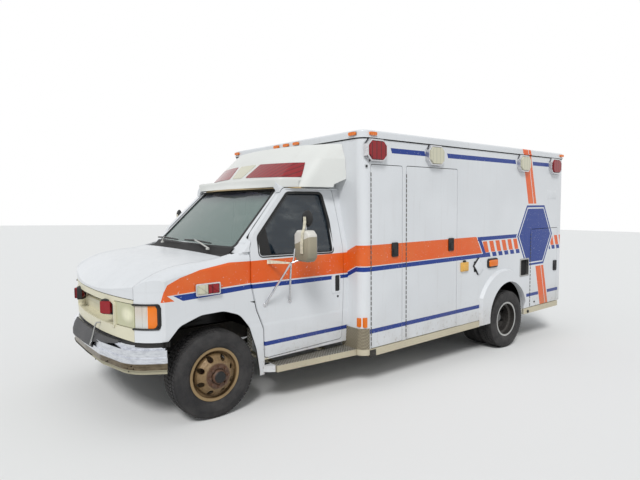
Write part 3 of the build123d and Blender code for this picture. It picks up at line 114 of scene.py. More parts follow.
class Shape:
    """Collects solids in one mesh, drawn in the body's level frame unless placed elsewhere."""

    def __init__(self):
        self.mesh = bmesh.new()

    def strip(self, first, second, closed=True):
        """The faces between two rows of vertices."""
        faces = []
        for index in range(len(first) if closed else len(first) - 1):
            ahead = (index + 1) % len(first)
            faces.append(self.mesh.faces.new((first[index], first[ahead], second[ahead], second[index])))
        return faces

    def turned_out(self, faces):
        """The shape, with these faces turned outwards."""
        bmesh.ops.recalc_face_normals(self.mesh, faces=faces)
        return self

    def soften(self, sides, edge, segments=2):
        """Rounds edges."""
        bmesh.ops.bevel(self.mesh, geom=list(sides), offset=edge, segments=segments, affect="EDGES", profile=0.5)

    def hull(self, ends):
        """A solid from (low point, high point) pairs round its outline. Returns its two end faces."""
        low, high = [[self.mesh.verts.new(point) for point in loop] for loop in zip(*ends)]
        caps = [self.mesh.faces.new(low), self.mesh.faces.new(high)]
        self.turned_out(caps + self.strip(low, high))
        return caps

    def prism(self, outline, axis, start, end, edge=0.0, segments=2):
        """Draws an outline out along an axis, its two rims softened."""
        caps = self.hull(drawn(outline, axis, start, end))
        if edge:
            self.soften({side for face in caps for side in face.edges}, edge, segments)
        return self

    def box(self, x0, x1, y0, y1, z0, z1, edge):
        """A block with softened edges."""
        verts = bmesh.ops.create_cube(self.mesh, size=1)["verts"]
        scale = Matrix.Diagonal((abs(x1 - x0), abs(y1 - y0), abs(z1 - z0), 1))
        middle = Matrix.Translation(((x0 + x1) / 2, (y0 + y1) / 2, (z0 + z1) / 2))
        bmesh.ops.transform(self.mesh, matrix=middle @ scale, verts=verts)
        self.soften({side for vert in verts for side in vert.link_edges}, edge)
        return self

    def lathe(self, profile, centre, axis="y", steps=48):
        """Turns a profile of (radius, along) about an axis through a centre."""
        rings = []
        for step in range(steps):
            angle = 2 * math.pi * step / steps
            across, up = math.cos(angle), math.sin(angle)
            offsets = [placed(axis, radius * across, radius * up, along) for radius, along in profile]
            rings.append([self.mesh.verts.new(tuple(c + o for c, o in zip(centre, offset))) for offset in offsets])
        faces = []
        for this, following in zip(rings, rings[1:] + rings[:1]):
            faces += self.strip(this, following)
        bmesh.ops.remove_doubles(self.mesh, verts=[vert for ring in rings for vert in ring], dist=WELD)
        return self.turned_out([face for face in faces if face.is_valid])

    def rod(self, points, radius, sides=12):
        """A round bar through points, with mitred bends."""
        points = [Vector(point) for point in points]
        rings = []
        for index, point in enumerate(points):
            before = points[max(index - 1, 0)]
            after = points[min(index + 1, len(points) - 1)]
            heading = (after - before).normalized()
            side = heading.cross(Vector((0.12, 0.35, 0.93))).normalized()
            lift = heading.cross(side).normalized()
            bend = 1.0
            if 0 < index < len(points) - 1:
                first, second = (point - before).normalized(), (after - point).normalized()
                bend = 1 / max(0.5, math.sqrt(max(0.0, (1 + first.dot(second)) / 2)))
            ring = []
            for step in range(sides):
                angle = 2 * math.pi * step / sides
                spread = side * math.cos(angle) + lift * math.sin(angle)
                ring.append(self.mesh.verts.new(point + spread * radius * bend))
            rings.append(ring)
        faces = [self.mesh.faces.new(list(reversed(rings[0]))), self.mesh.faces.new(rings[-1])]
        for this, following in zip(rings, rings[1:]):
            faces += self.strip(this, following)
        return self.turned_out(faces)

    def band(self, outer, inner):
        """A ring between two loops of (low point, high point)."""
        loops = [[[self.mesh.verts.new(point) for point in ends] for ends in line] for line in (outer, inner)]
        faces = []
        for index in range(len(outer)):
            ahead = (index + 1) % len(outer)
            (a, b), (c, d), (e, f), (g, h) = loops[0][index], loops[0][ahead], loops[1][index], loops[1][ahead]
            for corners in ((a, c, d, b), (b, d, h, f), (f, h, g, e), (e, g, c, a)):
                faces.append(self.mesh.faces.new(corners))
        return self.turned_out(faces)

    def rim(self, outer, inner, axis, low, high, lip):
        """A ring between two outlines. The inner one ends at the lip."""
        return self.band(drawn(outer, axis, low, high), drawn(inner, axis, low, lip))

    def sheet(self, rows, thickness):
        """A grid of points, given a thickness along its normals."""
        grid = [[self.mesh.verts.new(point) for point in row] for row in rows]
        faces = []
        for lower, upper in zip(grid, grid[1:]):
            faces += self.strip(lower, upper, False)
        self.turned_out(faces)
        bmesh.ops.solidify(self.mesh, geom=faces, thickness=thickness)
        return self

    def piece(self, name):
        """The shape as an object of the scene."""
        mesh = bpy.data.meshes.new(name)
        self.mesh.to_mesh(mesh)
        piece = bpy.data.objects.new(name, mesh)
        bpy.context.scene.collection.objects.link(piece)
        return piece

    def finish(self, name, slot, finish, body="body", mirrored=False, place=LEVEL, sharp=SMOOTH_BELOW):
        """Makes the finished piece, riding on its body."""
        piece = self.piece(name)
        piece.data.materials.append(FINISHES[finish])
        return settle(piece, body, mirrored, place, sharp)


def pair(build, name, slot, finish, bodies=("body", "body"), sharp=SMOOTH_BELOW):
    """A piece for the left side and its mirror for the right. build() returns a Shape."""
    return [build().finish(f"{name}_{side}", slot, finish, body, side == "right", sharp=sharp)
            for side, body in zip(("left", "right"), bodies)]


def stud(radius, height, crown=None, top=None):
    """The profile of a round stud, narrower at its crown if one is given."""
    rim = [(radius, height)] if crown is None else [(radius, height), (crown, top)]
    return [(0.0, 0.0), (radius, 0.0), *rim, (0.0, rim[-1][1])]


def round_rect(u0, u1, v0, v1, radius, steps=5):
    """The outline of a rectangle with round corners."""
    corners = [(u1 - radius, v1 - radius), (u0 + radius, v1 - radius), (u0 + radius, v0 + radius),
               (u1 - radius, v0 + radius)]
    outline = []
    for quarter, (u, v) in enumerate(corners):
        for step in range(steps + 1):
            angle = math.radians(90 * quarter + 90 * step / steps)
            outline.append((u + radius * math.cos(angle), v + radius * math.sin(angle)))
    return outline


def chamfered(u0, u1, v0, v1, cut):
    """A rectangle with its corners cut off."""
    return [(u1 - cut, v0), (u1, v0 + cut), (u1, v1 - cut), (u1 - cut, v1), (u0 + cut, v1), (u0, v1 - cut),
            (u0, v0 + cut), (u0 + cut, v0)]


def round_off(points, radii, steps=6):
    """A closed outline with its corners rounded, radii given in the same order."""
    outline = []
    for index, (point, radius) in enumerate(zip(points, radii)):
        here = Vector(point)
        before = Vector(points[index - 1]) - here
        after = Vector(points[(index + 1) % len(points)]) - here
        half = before.angle(after) / 2
        start = here + before.normalized() * (radius / math.tan(half))
        end = here + after.normalized() * (radius / math.tan(half))
        middle = here + (before.normalized() + after.normalized()).normalized() * (radius / math.sin(half))
        first = start - middle
        turn = first.angle_signed(end - middle)
        for step in range(steps + 1):
            outline.append(tuple(middle + Matrix.Rotation(-turn * step / steps, 2) @ first))
    return outline


def grown(outline, distance):
    """A closed outline moved outwards along its normals. It may run either way round."""
    area = sum(a[0] * b[1] - b[0] * a[1] for a, b in zip(outline, outline[1:] + outline[:1]))
    sign = 1 if area > 0 else -1
    moved = []
    for index, (u, v) in enumerate(outline):
        run = Vector(outline[(index + 1) % len(outline)]) - Vector(outline[index - 1])
        normal = Vector((run.y, -run.x)).normalized() * sign
        moved.append((u + normal.x * distance, v + normal.y * distance))
    return moved


# Shader building


def arithmetic(operation, swapped=False):
    """A method of Value that adds one maths node."""
    def method(self, *others):
        values = (self, *others)
        return self.graph.calc(operation, *(values[::-1] if swapped else values))

    return method


class Value:
    """A node's output that plain arithmetic can be written with."""

    def __init__(self, graph, socket):
        self.graph, self.socket = graph, socket

    __add__, __radd__ = arithmetic("ADD"), arithmetic("ADD", True)
    __sub__, __rsub__ = arithmetic("SUBTRACT"), arithmetic("SUBTRACT", True)
    __mul__, __rmul__ = arithmetic("MULTIPLY"), arithmetic("MULTIPLY", True)
    __truediv__, __mod__, __pow__ = arithmetic("DIVIDE"), arithmetic("MODULO"), arithmetic("POWER")
    __gt__, __lt__, __abs__ = arithmetic("GREATER_THAN"), arithmetic("LESS_THAN"), arithmetic("ABSOLUTE")


class Graph:
    """Adds linked nodes to a tree."""

    def __init__(self, tree):
        self.tree = tree

    def node(self, kind, **settings):
        made = self.tree.nodes.new(kind)
        for key, value in settings.items():
            setattr(made, key, value)
        return made

    def feed(self, socket, value):
        """Links an output, or sets a plain value."""
        if isinstance(value, Value):
            self.tree.links.new(value.socket, socket)
        else:
            socket.default_value = value

    def fill(self, node, **inputs):
        """Feeds a node's inputs by name. Returns its first output."""
        for name, value in inputs.items():
            self.feed(node.inputs[name.replace("_", " ")], value)
        return Value(self, node.outputs[0]) if node.outputs else None

    def outputs(self, node):
        """A node's outputs by name."""
        return {socket.name: Value(self, socket) for socket in node.outputs}

    def ends(self):
        """A group's own inputs by name, and the node that takes its results."""
        return self.outputs(self.node("NodeGroupInput")), self.node("NodeGroupOutput")

    def calc(self, operation, *values, clamp=False):
        made = self.node("ShaderNodeMath", operation=operation, use_clamp=clamp)
        for socket, value in zip(made.inputs, values):
            self.feed(socket, value)
        return Value(self, made.outputs[0])

    def most(self, first, *others):
        """The largest of several values."""
        for value in others:
            first = self.calc("MAXIMUM", first, value)
        return first

    def within(self, value, low, high):
        """1 between two limits."""
        return (value > low) * (value < high)

    def ramp(self, value, low, high, start=0.0, end=1.0, smooth=True):
        made = self.node("ShaderNodeMapRange", interpolation_type="SMOOTHSTEP" if smooth else "LINEAR")
        for socket, setting in zip(made.inputs, (value, low, high, start, end)):
            self.feed(socket, setting)
        return Value(self, made.outputs[0])

    def mix(self, amount, first, second):
        made = self.node("ShaderNodeMix", data_type="RGBA")
        for index, value in ((0, amount), (6, first), (7, second)):
            self.feed(made.inputs[index], value)
        return Value(self, made.outputs[2])

    def noise(self, vector, scale, detail=3.0, roughness=0.55, distortion=0.0):
        made = self.node("ShaderNodeTexNoise")
        return self.fill(made, Vector=vector, Scale=scale, Detail=detail, Roughness=roughness, Distortion=distortion)

    def split(self, vector):
        made = self.node("ShaderNodeSeparateXYZ")
        self.fill(made, Vector=vector)
        return self.outputs(made).values()

    def stretch(self, vector, scale):
        return self.fill(self.node("ShaderNodeMapping"), Vector=vector, Scale=scale)

    def use(self, group, **values):
        """A shared group's outputs by name."""
        made = self.node("ShaderNodeGroup")
        made.node_tree = bpy.data.node_groups[group]
        self.fill(made, **values)
        return self.outputs(made)

    def bump(self, height, strength, distance=0.001):
        return self.fill(self.node("ShaderNodeBump"), Height=height, Strength=strength, Distance=distance)


def colour(red, green, blue):
    """A colour written as it looks on screen, for a shader."""
    values = []
    for channel in (red, green, blue):
        values.append(channel / 12.92 if channel <= 0.04045 else ((channel + 0.055) / 1.055) ** 2.4)
    return (*values, 1.0)


def shaded(base, share, lift=0.0):
    """A colour made darker or lighter."""
    return tuple(min(1.0, channel * share + lift) for channel in base[:3]) + (1,)


SOCKETS = {"value": "NodeSocketFloat", "vector": "NodeSocketVector", "colour": "NodeSocketColor"}
ORIGIN = ("Position", "vector", (0, 0, 0))
LEVEL_INPUTS = [("X", "value", 0), ("Side", "value", 0), ("Z", "value", 0)]


def group(name, inputs, outputs):
    """A new shader group. Inputs are (name, kind, default), outputs (name, kind)."""
    tree = bpy.data.node_groups.new(name, "ShaderNodeTree")
    for socket, kind, default in inputs:
        made = tree.interface.new_socket(name=socket, in_out="INPUT", socket_type=SOCKETS[kind])
        made.default_value = default
    for socket, kind in outputs:
        tree.interface.new_socket(name=socket, in_out="OUTPUT", socket_type=SOCKETS[kind])
    graph = Graph(tree)
    return graph, *graph.ends()


def build_level_group():
    """Turns a position into one of the body's level frame."""
    outputs = [("Level", "vector"), ("X", "value"), ("Side", "value"), ("Z", "value")]
    graph, entry, leave = group("Level Position", [ORIGIN], outputs)
    mapping = graph.node("ShaderNodeMapping", vector_type="TEXTURE")
    level = graph.fill(mapping, Vector=entry["Position"], Location=(AXLE_X, 0, 0), Rotation=(0, RAKE, 0))
    x, y, z = graph.split(level)
    graph.fill(leave, Level=level, X=x, Side=abs(y), Z=z)


BAND_LOW, BAND_HIGH = 1.158, 1.361
BLUE_LOW, BLUE_HIGH = 1.105, 1.150
HEX_CENTRE, HEX_SIZE = (-4.700, 1.322), 0.405
# Runs of the stripes, as (front end, rear end) at their top edge, and their heights
UPPER_STRIPE, UPPER_Z = [(-1.831, -2.350), (-2.734, -4.155), (-4.490, -5.030)], (2.258, 2.309)
LOWER_STRIPE, LOWER_Z = [(-1.540, -3.470), (-4.492, -5.366)], (0.493, 0.537)
# Ticks beside the emblem, drawn on a line that leans with them
TICK_PITCH, TICK_WIDTH = 0.137, 0.090
TICKS_AHEAD, TICKS_BEHIND = (-4.420, -3.447), (-5.420, -5.020)
TICK_Z, TICK_FOOT_Z = (1.162, 1.298), (1.104, 1.158)
ROOF_BAND_Z = 2.463


def build_box_livery():
    """Stripes of the box body, as masks. Skin is 1 only on its outer faces."""
    graph, entry, leave = group("Box Livery", LEVEL_INPUTS,
                                [(mask, "value") for mask in ("Orange", "Blue", "Faded", "Skin")])
    x, side, z = entry["X"], entry["Side"], entry["Z"]
    most, within = graph.most, graph.within
    over_x = most(abs(x - (BOX_FRONT + BOX_REAR) / 2) - ((BOX_FRONT - BOX_REAR) / 2 - CORNER), 0.0)
    over_y = most(side - (BOX_SIDE - CORNER), 0.0)
    skin = graph.calc("SQRT", over_x * over_x + over_y * over_y) > CORNER - 0.004
    front = x > BOX_FRONT - CORNER
    on_side = most(side > BOX_SIDE - CORNER, front * (side > 0.90))
    # the band bends down towards the cab on the front wall
    level = z + graph.ramp(side, 1.128, 1.008, 0.0, 0.0575, smooth=False) * front
    slant = x + (BAND_HIGH - level) * 0.596
    orange = within(level, BAND_LOW, BAND_HIGH) * (slant > -3.315)
    # blue line below it, the slanted joint and the upper run to the emblem
    bar = within(slant, -3.392, -3.330) * within(level, BLUE_LOW, 1.356)
    below = within(level, BLUE_LOW, BLUE_HIGH) * (slant > -3.392)
    blue = most(bar, below, within(z, 1.309, 1.356) * within(x, -4.420, -3.345))
    # ticks ahead of the emblem and three behind it, each with a blue foot
    lean = x + (1.294 - z) * 0.36
    run = most(within(lean, *TICKS_AHEAD), within(lean, *TICKS_BEHIND))
    tick = ((TICKS_AHEAD[1] - lean) % TICK_PITCH < TICK_WIDTH) * run
    foot = ((TICKS_AHEAD[1] - 0.015 - lean) % TICK_PITCH < TICK_WIDTH) * run
    orange = most(orange, tick * within(z, *TICK_Z))
    blue = most(blue, foot * within(z, *TICK_FOOT_Z))
    upper_slant = x - (z - UPPER_Z[1]) * 0.39
    for start, end in UPPER_STRIPE:
        blue = most(blue, within(upper_slant, end, start) * within(z, *UPPER_Z))
    for start, end in LOWER_STRIPE:
        blue = most(blue, within(x, end, start) * within(z, *LOWER_Z))
    # the tall slanted band, its hairline and the white line round it
    fall = ROOF_BAND_Z - z
    lean_front, lean_rear = x + fall * 0.2553, x + fall * 0.2619
    tall = (lean_front < -4.319) * (lean_rear > -4.525)
    clear_line = 1.0 - within(lean_rear, -4.548, -4.300)
    # hexagon emblem with a white outline and ring
    hex_x, hex_z = abs(x - HEX_CENTRE[0]), abs(z - HEX_CENTRE[1])
    size = most(hex_x * 0.866 + hex_z * 0.5, hex_z)
    ring = within(size, HEX_SIZE - 0.045, HEX_SIZE - 0.028)
    clear = size > HEX_SIZE + 0.022
    orange = most(orange * clear_line, tall * (1.0 - within(lean_rear, -4.460, -4.448))) * clear
    blue = most(blue * clear_line * clear, (size < HEX_SIZE) * (1.0 - ring))
    flank = skin * on_side
    graph.fill(leave, Orange=orange * flank, Blue=blue * flank, Faded=tall * (z > 2.385), Skin=skin)


# Edges of the cab's stripes, as (x, height)
ORANGE_TOP = [(-1.45, 1.287), (-0.90, 1.285), (-0.325, 1.283), (-0.145, 1.287), (0.121, 1.249), (0.288, 1.202),
              (0.392, 1.155), (0.421, 1.101), (0.443, 1.024)]
ORANGE_LOW = [(-1.45, 1.084), (-0.90, 1.090), (-0.33, 1.094), (0.160, 1.082), (0.395, 1.072), (0.443, 1.07)]
BLUE_TOP = [(-1.45, 1.071), (-0.90, 1.078), (-0.349, 1.083), (0.0, 1.076), (0.348, 1.070), (0.443, 1.068)]
BLUE_BASE = [(-1.45, 1.037), (-0.90, 1.038), (-0.349, 1.045), (0.0, 1.032), (0.269, 1.021), (0.348, 1.070),
             (0.443, 1.072)]
CURVE_START, CURVE_SPAN, CURVE_BASE, CURVE_RISE = -1.45, 1.90, 1.0, 0.4


def edge_height(graph, x, table):
    """The height of a stripe's edge at x, from its table."""
    made = graph.node("ShaderNodeFloatCurve")
    spots = made.mapping.curves[0].points
    while len(spots) < len(table):
        spots.new(0.5, 0.5)
    for spot, (px, pz) in zip(spots, table):
        spot.location = ((px - CURVE_START) / CURVE_SPAN, (pz - CURVE_BASE) / CURVE_RISE)
        spot.handle_type = "VECTOR"
    made.mapping.update()
    share = graph.fill(made, Value=graph.ramp(x, CURVE_START, CURVE_START + CURVE_SPAN, smooth=False))
    return share * CURVE_RISE + CURVE_BASE


def build_cab_livery():
    """Stripes of the cab and fenders, as masks."""
    graph, entry, leave = group("Cab Livery", LEVEL_INPUTS + [("Skin Side", "value", 0.96)],
                                [("Orange", "value"), ("Blue", "value"), ("Crease", "value")])
    x, side, z = entry["X"], entry["Side"], entry["Z"]
    skin = side > entry["Skin Side"]
    nose = x + (z - 1.024) * 0.2 < 0.443
    top = z < edge_height(graph, x, ORANGE_TOP)
    low = z > edge_height(graph, x, ORANGE_LOW)
    toe = graph.within(z, 1.026, 1.075) * (x - (z - 1.030) * 1.286 > 0.341)
    orange = graph.most(low, toe) * top * nose * skin
    line = (z < edge_height(graph, x, BLUE_TOP)) * (z > edge_height(graph, x, BLUE_BASE)) * (x < 0.346)
    foot = graph.within(z, 0.524, 0.562) * (x < -0.467)
    blue = graph.most(line, foot) * skin
    # pressed lines along the side, raised and lowered
    belt = graph.ramp(z, 1.098, 1.116)
    waist = graph.ramp(z, 0.735, 0.700)
    crease = belt * 0.4 + waist
    graph.fill(leave, Orange=orange, Blue=blue, Crease=crease)


def build_dirt_group():
    """Road dust low down, streaks below edges and blotches all over."""
    graph, entry, leave = group("Road Dirt", [
        ORIGIN, ("Height", "value", 1.0), ("Amount", "value", 1.0), ("Clean", "colour", (1, 1, 1, 1)),
        ("Dust", "colour", colour(0.55, 0.50, 0.42)), ("Reach", "value", 0.75),
    ], [("Colour", "colour"), ("Mask", "value")])
    position = entry["Position"]
    low = graph.ramp(entry["Height"], entry["Reach"], entry["Reach"] * 0.3)
    spread = low * graph.ramp(graph.noise(position, 2.2, 3, 0.6), 0.30, 0.72)
    speckle = graph.ramp(graph.noise(position, 34, 5, 0.65), 0.54, 0.74) * (low * 0.5 + 0.035)
    runs = graph.ramp(graph.noise(graph.stretch(position, (14, 14, 0.9)), 1.6, 4, 0.6), 0.56, 0.80)
    total = graph.calc("MULTIPLY", spread * 0.34 + speckle + runs * 0.10, entry["Amount"], clamp=True)
    graph.fill(leave, Colour=graph.mix(total, entry["Clean"], entry["Dust"]), Mask=total)


def build_rust_group():
    """Rust that grows in blotches and pits."""
    graph, entry, leave = group("Rust", [
        ORIGIN, ("Amount", "value", 0.5), ("Metal", "colour", (0.5, 0.5, 0.5, 1)),
        ("Scale", "value", 1.0),
    ], [("Colour", "colour"), ("Mask", "value"), ("Pits", "value")])
    scaled = graph.fill(graph.node("ShaderNodeVectorMath", operation="SCALE"), Vector=entry["Position"],
                        Scale=entry["Scale"])
    blotch = graph.noise(scaled, 22, 6, 0.62, 0.4)
    fine = graph.noise(scaled, 160, 4, 0.6)
    edge = 0.78 - entry["Amount"] * 0.5
    mask = graph.ramp(blotch * 0.8 + fine * 0.2, edge, edge + 0.12)
    rust = graph.mix(graph.ramp(fine, 0.35, 0.68), colour(0.28, 0.15, 0.08), colour(0.56, 0.35, 0.19))
    graph.fill(leave, Colour=graph.mix(mask, entry["Metal"], rust), Mask=mask, Pits=fine * mask)


def build_tread_plate_group():
    """Raised lozenges in alternate directions."""
    graph, entry, leave = group("Tread Plate", [("U", "value", 0), ("V", "value", 0), ("Pitch", "value", 0.032)],
                                [("Height", "value")])
    def lozenges(shift, turn):
        u, v = (graph.calc("FRACT", entry[key] / entry["Pitch"] + shift) - 0.5 for key in "UV")
        along = u + v * turn
        across = u - v * turn
        far = abs(along * 1.55) ** 2.0 + abs(across * 6.0) ** 2.0
        return graph.ramp(far, 1.0, 0.55)
    graph.fill(leave, Height=graph.most(lozenges(0.0, 1.0), lozenges(0.5, -1.0)))


def build_groups():
    """All shared shader groups."""
    build_level_group()
    build_box_livery()
    build_cab_livery()
    build_dirt_group()
    build_rust_group()
    build_tread_plate_group()


def new_material(name):
    """A finish: its graph, its shader, the position and the level position."""
    material = bpy.data.materials.new(name)
    material.use_nodes = True
    FINISHES[name] = material
    graph = Graph(material.node_tree)
    position = graph.outputs(graph.node("ShaderNodeTexCoord"))["Object"]
    level = graph.use("Level Position", Position=position)
    return graph, material.node_tree.nodes["Principled BSDF"], position, level


WHITE = colour(0.84, 0.85, 0.86)
FAIRING_WHITE = colour(0.84, 0.845, 0.83)
CREAM = colour(0.84, 0.82, 0.72)
ORANGE = colour(0.86, 0.34, 0.06)
FADED_ORANGE = colour(0.85, 0.40, 0.17)
BLUE = colour(0.01, 0.19, 0.51)
UNDERSIDE = colour(0.05, 0.048, 0.045)


def under_fender(graph, level):
    """1 on the faces inside the front wheel arch."""
    x, side, z = level["X"], level["Side"], level["Z"]
    inner = side < (z - 0.262) * 0.044 + (x + 0.43) * 0.022 + 0.960
    below = (z < 0.935) * (z + x * 0.75 < 1.09)
    return inner * below * graph.within(x, -0.55, 0.41)


def paint(name, livery, base, amount=1.0, gloss=0.28, arch=False, **skin):
    """Old gloss paint with stripes, dust, fine scratches and slight waves in the panels."""
    graph, shader, position, level = new_material(name)
    shade = graph.mix(graph.ramp(graph.noise(position, 1.3, 2), 0.3, 0.7), base, shaded(base, 0.93))
    height = graph.noise(position, 3.5, 1, 0.4) * 0.9 + graph.noise(position, 420, 2, 0.5) * 0.012
    if livery:
        masks = graph.use(livery, X=level["X"], Side=level["Side"], Z=level["Z"], **skin)
        wear_and_reflection_edge = graph.ramp(graph.noise(position, 60, 4, 0.7), 0.30, 0.36)
        sun = graph.mix(graph.ramp(graph.noise(position, 3.1, 3), 0.3, 0.75), ORANGE, FADED_ORANGE)
        shade = graph.mix(masks["Orange"] * wear_and_reflection_edge, shade, sun)
        shade = graph.mix(masks["Blue"] * wear_and_reflection_edge, shade, BLUE)
        if "Crease" in masks:
            height = height + masks["Crease"] * 2.6
    dirt = graph.use("Road Dirt", Position=position, Height=level["Z"], Amount=amount, Clean=shade, Reach=0.75)
    shade = dirt["Colour"]
    if arch:
        shade = graph.mix(under_fender(graph, level), shade, UNDERSIDE)
    dull = dirt["Mask"] * 0.5 + graph.ramp(graph.noise(position, 18, 4), 0.3, 0.8, 0.0, 0.12)
    graph.fill(shader, Base_Color=shade, Roughness=gloss + dull, Normal=graph.bump(height, 0.35, 0.003),
               Specular_IOR_Level=0.34, Coat_Weight=0.12, Coat_Roughness=0.12)


def plain_paint(name, base, rough, dust, bump, scale, metal=0.0, reach=0.9, below=None, **dust_colour):
    """Flat paint or moulded plastic with grain and dust, dark below a height if one is given."""
    graph, shader, position, level = new_material(name)
    fine = graph.noise(position, scale, 4, 0.6)
    shade = graph.mix(graph.ramp(fine, 0.35, 0.7), base, shaded(base, 1.35, 0.004))
    dusty = graph.use("Road Dirt", Position=position, Height=level["Z"], Amount=dust, Clean=shade, Reach=reach,
                      **dust_colour)
    shade = dusty["Colour"]
    if below:
        shade = graph.mix(level["Z"] < below, shade, UNDERSIDE)
    graph.fill(shader, Base_Color=shade, Roughness=graph.ramp(fine, 0.2, 0.8, rough - 0.08, rough + 0.12),
               Normal=graph.bump(fine, bump, 0.001), Metallic=metal)


def worn_metal(name, base, rough, rust=0.2, metal=1.0, scale=1.0, brush=None, dust=0.5):
    """Bare or plated metal with a drawn grain, rust and dust."""
    graph, shader, position, level = new_material(name)
    grain = graph.noise(graph.stretch(position, brush or (1, 1, 1)), 55, 5, 0.6)
    shade = graph.mix(graph.ramp(grain, 0.3, 0.75), shaded(base, 0.75), base)
    corroded = graph.use("Rust", Position=position, Amount=rust, Metal=shade, Scale=scale)
    dirt = graph.use("Road Dirt", Position=position, Height=level["Z"], Amount=dust, Clean=corroded["Colour"],
                     Reach=0.6)
    covered = graph.most(corroded["Mask"], dirt["Mask"])
    height = grain * 0.3 + corroded["Pits"] * 1.2
    graph.fill(shader, Base_Color=dirt["Colour"], Metallic=(1.0 - covered) * metal,
               Roughness=graph.ramp(grain, 0.2, 0.8, rough - 0.05, rough + 0.08) + covered * 0.4,
               Normal=graph.bump(height, 0.3, 0.001))


def tread_plate(name, low=colour(0.42, 0.41, 0.38), high=colour(0.74, 0.74, 0.72), dust=0.8, metal=0.8, above=None):
    """Aluminium plate with raised lozenges, plain cream metal below a height if one is given."""
    graph, shader, position, level = new_material(name)
    x, y, z = graph.split(level["Level"])
    flat = graph.use("Tread Plate", U=x, V=y + z)["Height"]
    front = graph.use("Tread Plate", U=y, V=z)["Height"]
    on_front = (x > BOX_FRONT + 0.0025) * (x < BOX_FRONT + 0.01)
    raised = flat * (1.0 - on_front) + front * on_front
    shade = graph.mix(raised, low, high)
    if above:
        plain = z < above
        raised = raised * (1.0 - plain)
        shade = graph.mix(plain, shade, colour(0.78, 0.75, 0.66))
    dirt = graph.use("Road Dirt", Position=position, Height=level["Z"], Amount=dust, Clean=shade, Reach=0.9)
    graph.fill(shader, Base_Color=dirt["Colour"], Metallic=graph.calc("SUBTRACT", metal, dirt["Mask"], clamp=True),
               Roughness=graph.ramp(raised, 0, 1, 0.55, 0.34), Normal=graph.bump(raised, 0.9, 0.002))


BUMPER_BRIGHT_Z, BUMPER_BEIGE_Z = (0.556, 0.566), (0.512, 0.506)


def bumper_plate(name):
    """Bright plating on the bumper's upper faces, painted shadow of the fold in dark tan below them and painted beige
    at the foot.
    """
    graph, shader, position, level = new_material(name)
    z = level["Z"]
    grain = graph.noise(graph.stretch(position, (2, 2, 9)), 9, 4, 0.6)
    bright = graph.mix(graph.ramp(grain, 0.35, 0.75), colour(0.90, 0.91, 0.93), colour(0.78, 0.79, 0.82))
    # painted shadow: the fold below the bright upper faces is coloured dark tan as its shade
    painted_fold_shadow = graph.mix(graph.ramp(grain, 0.3, 0.7), colour(0.50, 0.45, 0.37), colour(0.36, 0.32, 0.26))
    upper = graph.ramp(z, *BUMPER_BRIGHT_Z)
    shade = graph.mix(upper, painted_fold_shadow, bright)
    foot = graph.ramp(z, *BUMPER_BEIGE_Z)
    shade = graph.mix(foot, shade, colour(0.62, 0.60, 0.51))
    rusted = graph.use("Rust", Position=position, Amount=0.08, Metal=shade, Scale=0.6)
    dirt = graph.use("Road Dirt", Position=position, Height=z, Amount=0.55, Clean=rusted["Colour"], Reach=0.62)
    covered = graph.most(rusted["Mask"], dirt["Mask"], foot * 0.9)
    graph.fill(shader, Base_Color=dirt["Colour"], Metallic=graph.calc("SUBTRACT", 1.0, covered, clamp=True),
               Roughness=0.16 + covered * 0.4, Normal=graph.bump(grain, 0.12, 0.001))


# Where a wheel's rim begins, and its hub and cap end
RIM_EDGE, HUB_EDGE, CAP_EDGE = (0.198, 0.203), (0.112, 0.096), (0.050, 0.046)


def wheel_steel(name, disc, hub, centre, rust, metal):
    """A steel wheel whose hub and middle are darker than its disc, with a rusty skin."""
    graph, shader, position, level = new_material(name)
    x, y, z = graph.split(position)
    over_z = z - AXLE_Z
    away = []
    for axle in (AXLE_X, AXLE_X - WHEELBASE):
        over_x = x - axle
        away.append(graph.calc("SQRT", over_x * over_x + over_z * over_z))
    radius = graph.calc("MINIMUM", *away)
    fine = graph.noise(position, 42, 5, 0.65)
    shade = graph.mix(graph.ramp(fine, 0.3, 0.75), disc[0], disc[1])
    shade = graph.mix(graph.ramp(radius, *RIM_EDGE), shade, disc[2])
    shade = graph.mix(graph.ramp(radius, *HUB_EDGE), shade, hub)
    shade = graph.mix(graph.ramp(radius, *CAP_EDGE), shade, centre)
    rusted = graph.use("Rust", Position=position, Amount=rust, Metal=shade, Scale=1.0)
    graph.fill(shader, Base_Color=rusted["Colour"],
               Metallic=(1.0 - rusted["Mask"]) * graph.ramp(radius, 0.112, 0.120) * metal,
               Roughness=graph.ramp(fine, 0.2, 0.8, 0.42, 0.66), Normal=graph.bump(fine + rusted["Pits"], 0.3, 0.001))


# Middle and half size of a headlamp; the clear part of the corner lamp between two distances
HEADLAMP, HEADLAMP_HALF = (0.752, 0.922), (0.11, 0.075)
TURN_CLEAR = (0.852, 0.936)
NOSE_X, RIB_PITCH = 0.4, 0.0035


